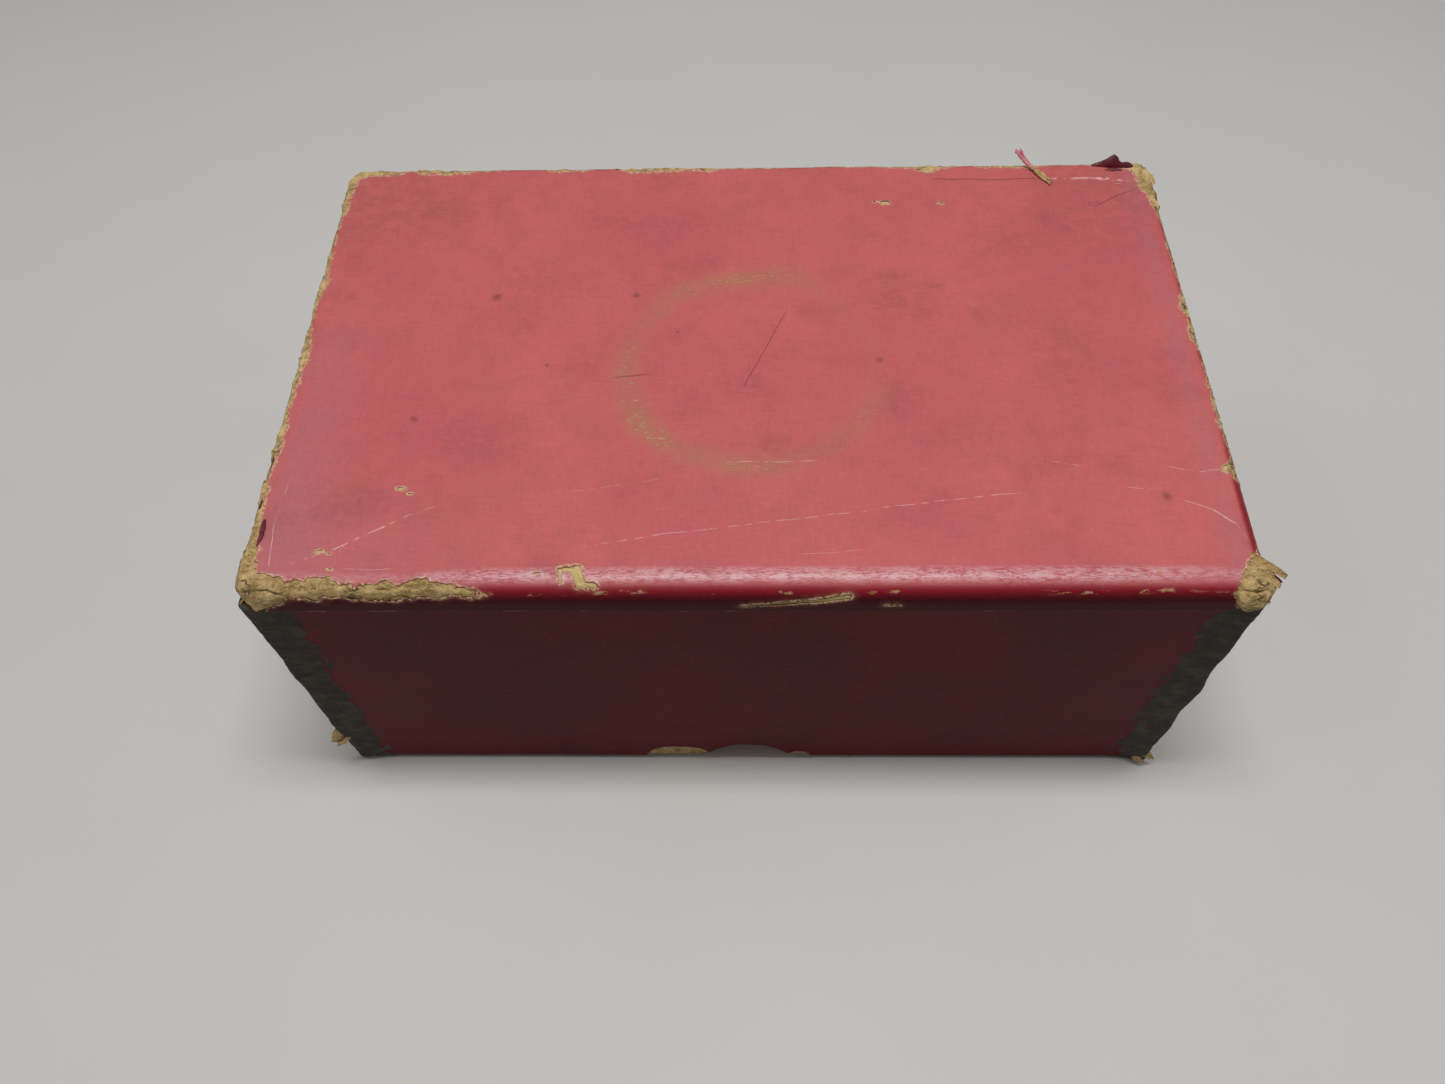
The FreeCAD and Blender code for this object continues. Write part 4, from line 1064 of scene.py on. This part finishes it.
# two splayed plies at the front right corner, and splinters at the other corners
make_strips("corner_splinters", [
    ([(84.6, -46.4, 75.5), (86.9, -48.2, 76.1), (89.2, -50.2, 76.3), (91.4, -52.2, 76)],
     [0.4, 1.3, 1.4, 0.9], (0.55, 0.6, 0.6), 0.15, 0.2, 0.3),
    ([(85.2, -48.6, 75.5), (87.2, -50.4, 75.7), (89, -52.2, 75.6), (90.4, -53.8, 75.3)],
     [0.6, 1.4, 1.4, 0.9], (0.5, 0.6, 0.65), 0.15, 0.2, 0.3),
    ([(84, -53.6, 71.6), (86.2, -54.9, 71.2), (88.4, -54.8, 71)], [0.4, 1, 0.5], (0.1, 0.6, 0.8), 0.2),
    ([(85.4, -54.8, 72.8), (87.6, -55.4, 72.6), (89.6, -55, 72.2)], [0.6, 1.2, 0.5], (0.1, 0.7, 0.7), 0.2),
    ([(86.9, 51.6, 75), (88.8, 50.4, 75), (89.9, 48.6, 74.3)], [1.4, 1.8, 0.5], (0.5, 0.5, 0.5), 0.3),
    ([(88, 47.6, 74.4), (89.2, 45.8, 73.9), (89.5, 43.6, 73)], [1.2, 1.6, 0.5], (0.4, 0.2, 0.8), 0.3),
    ([(-87.8, -53.2, 72), (-88.9, -54, 71.2), (-89.2, -54.2, 70)], [1.8, 1.5, 0.5], (0.5, 0.6, 0.3), 0.2),
], PULP, "pulp_board")
# tufts at the lower corners
make_strips("rim_tufts", [
    ([(-88.2, -54.4, 15.4), (-89.9, -55, 15), (-91, -55.2, 14.2)], [3.4, 3, 1.4], (0.2, 0.5, 0.8), 0.4),
    ([(-88.4, -54.6, 13.2), (-90.2, -55.4, 12.8), (-91.5, -55.7, 12.6)], [3.6, 3.4, 2], (0.3, 0.4, 0.9), 0.5),
    ([(-88.6, -54.4, 11.2), (-90.2, -55, 10.4), (-91, -55.2, 9.8)], [3.2, 2.8, 1.4], (0.2, 0.7, 0.6), 0.3),
    ([(-87.6, -55.2, 12.4), (-89.2, -56.1, 12), (-90.4, -56.5, 11.4)], [2.8, 2.6, 1.2], (0.5, 0.3, 0.8), 0.3),
    ([(88, -54.8, 4.4), (89.6, -55.6, 3.6), (90.6, -55.9, 2.6)], [2.4, 1.8, 0.5], (0.3, 0.4, 0.8), 0.4),
    ([(86.2, -55.2, 2.8), (87.8, -56, 2), (88.8, -56.4, 1.2)], [2, 1.4, 0.4], (0.6, 0.2, 0.6), 0.2),
    ([(-87.2, 54.2, 4), (-88.6, 55, 3.2), (-89.6, 55.2, 2.4)], [2.2, 1.5, 0.5], (0.3, -0.4, 0.8), 0.3),
    ([(87.4, 54, 6), (88.8, 54.8, 5.4), (89.8, 55, 4.4)], [2.2, 1.5, 0.5], (-0.3, 0.4, 0.8), 0.3),
], PULP, "pulp_board")


# ---------------------------------------------------------------- CAD nodes that keep their shape

KEPT = {
    LINING: ["lid_lining", "base_lining", "base_floor_card"],
    BASE_PAPER: ["base_wall_cover", "base_bottom_cover"],
    CARD: ["lid_pad_card", *(f"tray_rest_{side}" for side in SIDES)],
    PULP: ["base_bottom_board", *(f"{body}_{side}_board" for body in ("lid", "base") for side in SIDES)],
    TAPE: ["base_corner_stays"],
    VELVET: ["tray_bottom_board", "tray_cross_divider", "tray_long_divider",
             *(f"tray_{side}_wall" for side in SIDES)],
}
for material, names in KEPT.items():
    for name in names:
        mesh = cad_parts[name].data
        mesh.materials.clear()
        mesh.materials.append(material)


# ---------------------------------------------------------------- soft pieces

PUFF_FRAMES = 16
PUFF_MOST = 1.5  # how far the cloth may move
CLOTH = {"vertex_group_mass": "pinned", "quality": 6, "mass": 0.15, "tension_stiffness": 12,
         "compression_stiffness": 12, "bending_stiffness": 0.05, "shrink_min": -0.02,
         "use_pressure": True, "uniform_pressure_force": 4}


def puff(pinned, low, high):
    """A settle step: the cloth is blown up a little, held at the pinned points and kept in its box."""
    def settle(obj):
        mesh = obj.data
        rest = np.zeros(3 * len(mesh.vertices))
        mesh.vertices.foreach_get("co", rest)
        rest = rest.reshape(-1, 3)
        group = obj.vertex_groups.new(name="pinned")
        group.add(np.nonzero(pinned)[0].tolist(), 1.0, "REPLACE")
        cloth = obj.modifiers.new("puff", "CLOTH")
        for key, value in CLOTH.items():
            setattr(cloth.settings, key, value)
        cloth.settings.effector_weights.gravity = 0
        cloth.point_cache.frame_start, cloth.point_cache.frame_end = 1, PUFF_FRAMES
        for frame_number in range(1, PUFF_FRAMES + 1):
            bpy.context.scene.frame_set(frame_number)
        done = obj.evaluated_get(bpy.context.evaluated_depsgraph_get()).data
        moved = np.zeros(rest.size)
        done.vertices.foreach_get("co", moved)
        move = moved.reshape(-1, 3) - rest
        length = np.linalg.norm(move, axis=1)[:, None]
        move = move * np.minimum(1, PUFF_MOST * MM / np.maximum(length, 1e-9))
        obj.modifiers.remove(cloth)
        obj.vertex_groups.remove(group)
        bpy.context.scene.frame_set(1)
        mesh.vertices.foreach_set("co", np.clip(rest + move, low * MM, high * MM).ravel())
        mesh.update()
    return settle


def cushion(name, node, body, material, slot, seed, crowned, pull, step=1.5, down=False):
    """A stuffed pad in its node's box: crowned, drawn in at its seam, with puckers along the edge."""
    low, high = box_mm(node)
    centre, half = (low + high) / 2, (high - low) / 2
    height = high[2] - low[2]
    lines = []
    for size in half[:2]:
        s = np.linspace(-1, 1, 2 * round(size / step) + 1)
        lines.append(np.sin(s * QUARTER) * 0.35 + s * 0.65)
    u, v = pairs(*lines)
    x = u * (half[0] - pull * (1 - v**2) * np.abs(u) ** 8)
    y = v * (half[1] - pull * (1 - u**2) * np.abs(v) ** 8)
    flat = stacked(x + 300 * seed, y, 0 * x)
    side_x, side_y = half[0] * (1 - np.abs(u)), half[1] * (1 - np.abs(v))
    shoulder = np.clip(np.minimum(side_x, side_y) / (1.1 * height), 0, 1)
    shoulder = np.sqrt(1 - (1 - shoulder) ** 2)
    puckers = noise(flat, (9, 2.1, 1), 620 + seed) * np.exp(-side_x / 5)
    puckers = puckers + noise(flat, (2.1, 9, 1), 640 + seed) * np.exp(-side_y / 5)
    seam = 0.4 * height
    rise = (height - seam) * shoulder * (1 - crowned * (1 - (1 - u**2) * (1 - v**2)))
    rise += shoulder * height * (0.055 * puckers + 0.02 * fbm(flat, 12, 2, 660 + seed))
    top = seam + np.clip(rise, 0, height - seam)
    base = seam * (1 - np.clip(shoulder * 1.6, 0, 1))
    # the face and the underside share the points of their rim
    rows, columns = len(lines[1]), len(lines[0])
    n = rows * columns
    index = np.arange(n).reshape(rows, columns)
    rim = np.zeros((rows, columns), bool)
    rim[[0, -1]] = rim[:, [0, -1]] = True
    under = np.where(rim, index, index + n).ravel()
    quads = grid_quads(rows, columns)[:, ::-1]
    points = np.concatenate([stacked(x, y, z) for z in (top, base)])
    used, faces = np.unique(np.concatenate([quads, under[quads][:, ::-1]]), return_inverse=True)
    faces, points = faces.reshape(-1, 4), points[used]
    if down:
        points[:, 2] = height - points[:, 2]
        faces = faces[:, ::-1]
    points = points + [centre[0], centre[1], low[2]]
    obj = make_object(name, points, faces, material, body, slot, [node], settle=puff(used >= n, low, high))


def ring_roll(number):
    """A velvet-covered roll, a little flattened where it lies and where it meets the next."""
    node = f"ring_roll_{number}"
    low, high = box_mm(node)
    centre, half = (low + high) / 2, (high - low) / 2
    t = np.linspace(-1, 1, 91)
    length = np.sin(t * QUARTER) * 0.3 + t * 0.7
    turn = np.linspace(0, 2 * math.pi, 49)[:-1]
    k, a = pairs(np.arange(len(length)), turn, "ij")
    y = length[k] * half[1]
    from_end = half[1] - np.abs(y)
    end = np.clip(from_end / 3.6, 0, 1)
    size = 0.30 + 0.70 * np.sqrt(1 - (1 - end) ** 2)
    sag = 0.985 + 0.012 * np.cos(y / 9 + number)
    puckers = 1 - 0.035 * np.exp(-from_end / 3.5) * (1 + np.cos(16 * a + number))
    r = half[0] * size * sag * puckers
    x, z = r * np.sign(np.cos(a)) * np.abs(np.cos(a)) ** 0.93, r * np.sin(a)
    z = np.where(z < 0, z * 0.99, z)
    points = stacked(x + centre[0], y + centre[1], z + centre[2])
    out = stacked(np.cos(a), 0 * a, np.sin(a))
    points = points + out * (0.05 * fbm(points, 7, 3, 700 + number) - 0.05)[:, None]
    columns = len(turn)
    faces = grid_quads(len(length), columns, wrap=True).tolist()
    faces += [list(range(columns)), list(range(len(points) - 1, len(points) - columns - 1, -1))]
    obj = make_object(f"velvet_roll_{number}", points, faces, VELVET, "tray", "velvet", [node])


RIBBON_WIDTH, RIBBON_THICK = 12.0, 0.16
# the fold's profile: how deep it stands in from the wall, in shares of LOOP_DEEP, and how high, of its height
LOOP_DEEP = 1.15
LOOP = [(0.30, 0.0), (0.34, 0.25), (0.40, 0.5), (0.46, 0.75), (0.40, 0.94), (0.62, 1.0), (0.84, 0.94),
        (0.80, 0.75), (0.92, 0.5), (1.00, 0.25), (0.94, 0.0)]


def ribbon_loop(side):
    """A ribbon folded over into a loop, its two ends tucked down beside the tray's wall."""
    node = f"ribbon_pull_{side}"
    low, high = box_mm(node)
    way = -1 if side == "left" else 1
    wall = low[0] if side == "left" else high[0]
    t = np.linspace(0, len(LOOP) - 1, 61)
    path = []
    for values in zip(*LOOP):
        line = np.pad(np.interp(t, range(len(LOOP)), values), 1, mode="edge")
        path.append(np.convolve(line, [0.25, 0.5, 0.25], mode="valid"))
    path_x, path_z = path
    height = high[2] - low[2] - 0.4
    across = np.linspace(low[1], high[1], 15)
    k, y = pairs(np.arange(len(t)), across, "ij")
    points = stacked(wall - way * LOOP_DEEP * path_x[k], y, low[2] + 0.2 + height * path_z[k])
    tangent = stacked(-way * LOOP_DEEP * np.gradient(path_x), 0 * path_x, height * np.gradient(path_z))
    normal = unit(np.cross(tangent, [0, 1, 0]))
    points[:, 1] += 0.12 * np.sin(points[:, 2] * 0.7)
    both, tris = shell(points, normal[k], halves(grid_quads(len(t), len(across))), RIBBON_THICK)
    obj = make_object(f"ribbon_{side}", both, tris, RIBBON, "tray", "ribbon", [node])


cushion("lid_panel", "lid_pad", "lid", SATIN, "lid_satin", 1, 0.25, 0.8, step=1.8, down=True)
cushion("roll_bed", "ring_roll_bed", "tray", VELVET, "velvet", 2, 0.03, 0.2)
cushion("front_pad", "compartment_pad_front", "tray", VELVET, "velvet", 3, 0.18, 0.4)
cushion("back_pad", "compartment_pad_back", "tray", VELVET, "velvet", 4, 0.18, 0.4)
for number in range(1, 7):
    ring_roll(number)
ribbon_loop("left")
ribbon_loop("right")


# ---------------------------------------------------------------- floor, light and camera

def make_floor():
    n = Nodes("floor")
    colour = n.mix(n.noise(60, 3), srgb(214, 212, 208), srgb(220, 218, 214))
    material = n.finish(Base_Color=colour, Roughness=0.7)
    mesh = bpy.data.meshes.new("floor")
    mesh.from_pydata([(-4, -4, 0), (4, -4, 0), (4, 4, 0), (-4, 4, 0)], [], [(0, 1, 2, 3)])
    floor = bpy.data.objects.new("floor", mesh)
    mesh.materials.append(material)
    bpy.context.scene.collection.objects.link(floor)
    floor.location.z = -0.0002


def area_light(name, at, aim, size, watts):
    light = bpy.data.lights.new(name, "AREA")
    light.shape, light.size, light.size_y = "RECTANGLE", size[0], size[1]
    light.energy = watts
    obj = bpy.data.objects.new(name, light)
    obj.location = at
    obj.rotation_euler = (Vector(aim) - Vector(at)).to_track_quat("-Z", "Y").to_euler()
    bpy.context.scene.collection.objects.link(obj)


make_floor()
area_light("key", (0.02, -0.03, 0.7), (0.02, -0.03, 0), (0.34, 0.1), 2.8)
area_light("fill_left", (-0.8, 0.1, 0.6), (0, 0, 0.03), (0.8, 0.8), 1.2)
area_light("fill_right", (0.9, 0.1, 0.5), (0, 0, 0.03), (0.7, 0.7), 0.8)

world = bpy.data.worlds.new("studio")
bpy.context.scene.world = world
world.use_nodes = True
world.node_tree.nodes["Background"].inputs["Color"].default_value = (1, 1, 1, 1)
world.node_tree.nodes["Background"].inputs["Strength"].default_value = 0.14

CAMERA_AT = (0.64, -148.9, 239.7)  # millimetres
YAW, PITCH, ROLL = -2.65, 57.52, -2.41  # degrees: turned left, down, and rolled
LENS = 27.62

camera = bpy.data.objects.new("camera", bpy.data.cameras.new("camera"))
yaw, pitch, roll = map(math.radians, (YAW, PITCH, ROLL))
ahead = Vector((math.sin(yaw) * math.cos(pitch), math.cos(yaw) * math.cos(pitch), -math.sin(pitch)))
right = Vector((math.cos(yaw), -math.sin(yaw), 0))
up = right.cross(ahead)
right_rolled = right * math.cos(roll) + up * math.sin(roll)
up_rolled = up * math.cos(roll) - right * math.sin(roll)
turned = Matrix((right_rolled, up_rolled, -ahead)).transposed()
camera.matrix_world = Matrix.Translation(Vector(CAMERA_AT) * MM) @ turned.to_4x4()
camera.data.lens = LENS
camera.data.clip_start = 0.01
bpy.context.scene.collection.objects.link(camera)
bpy.context.scene.camera = camera
bpy.context.scene.view_settings.view_transform = "Standard"
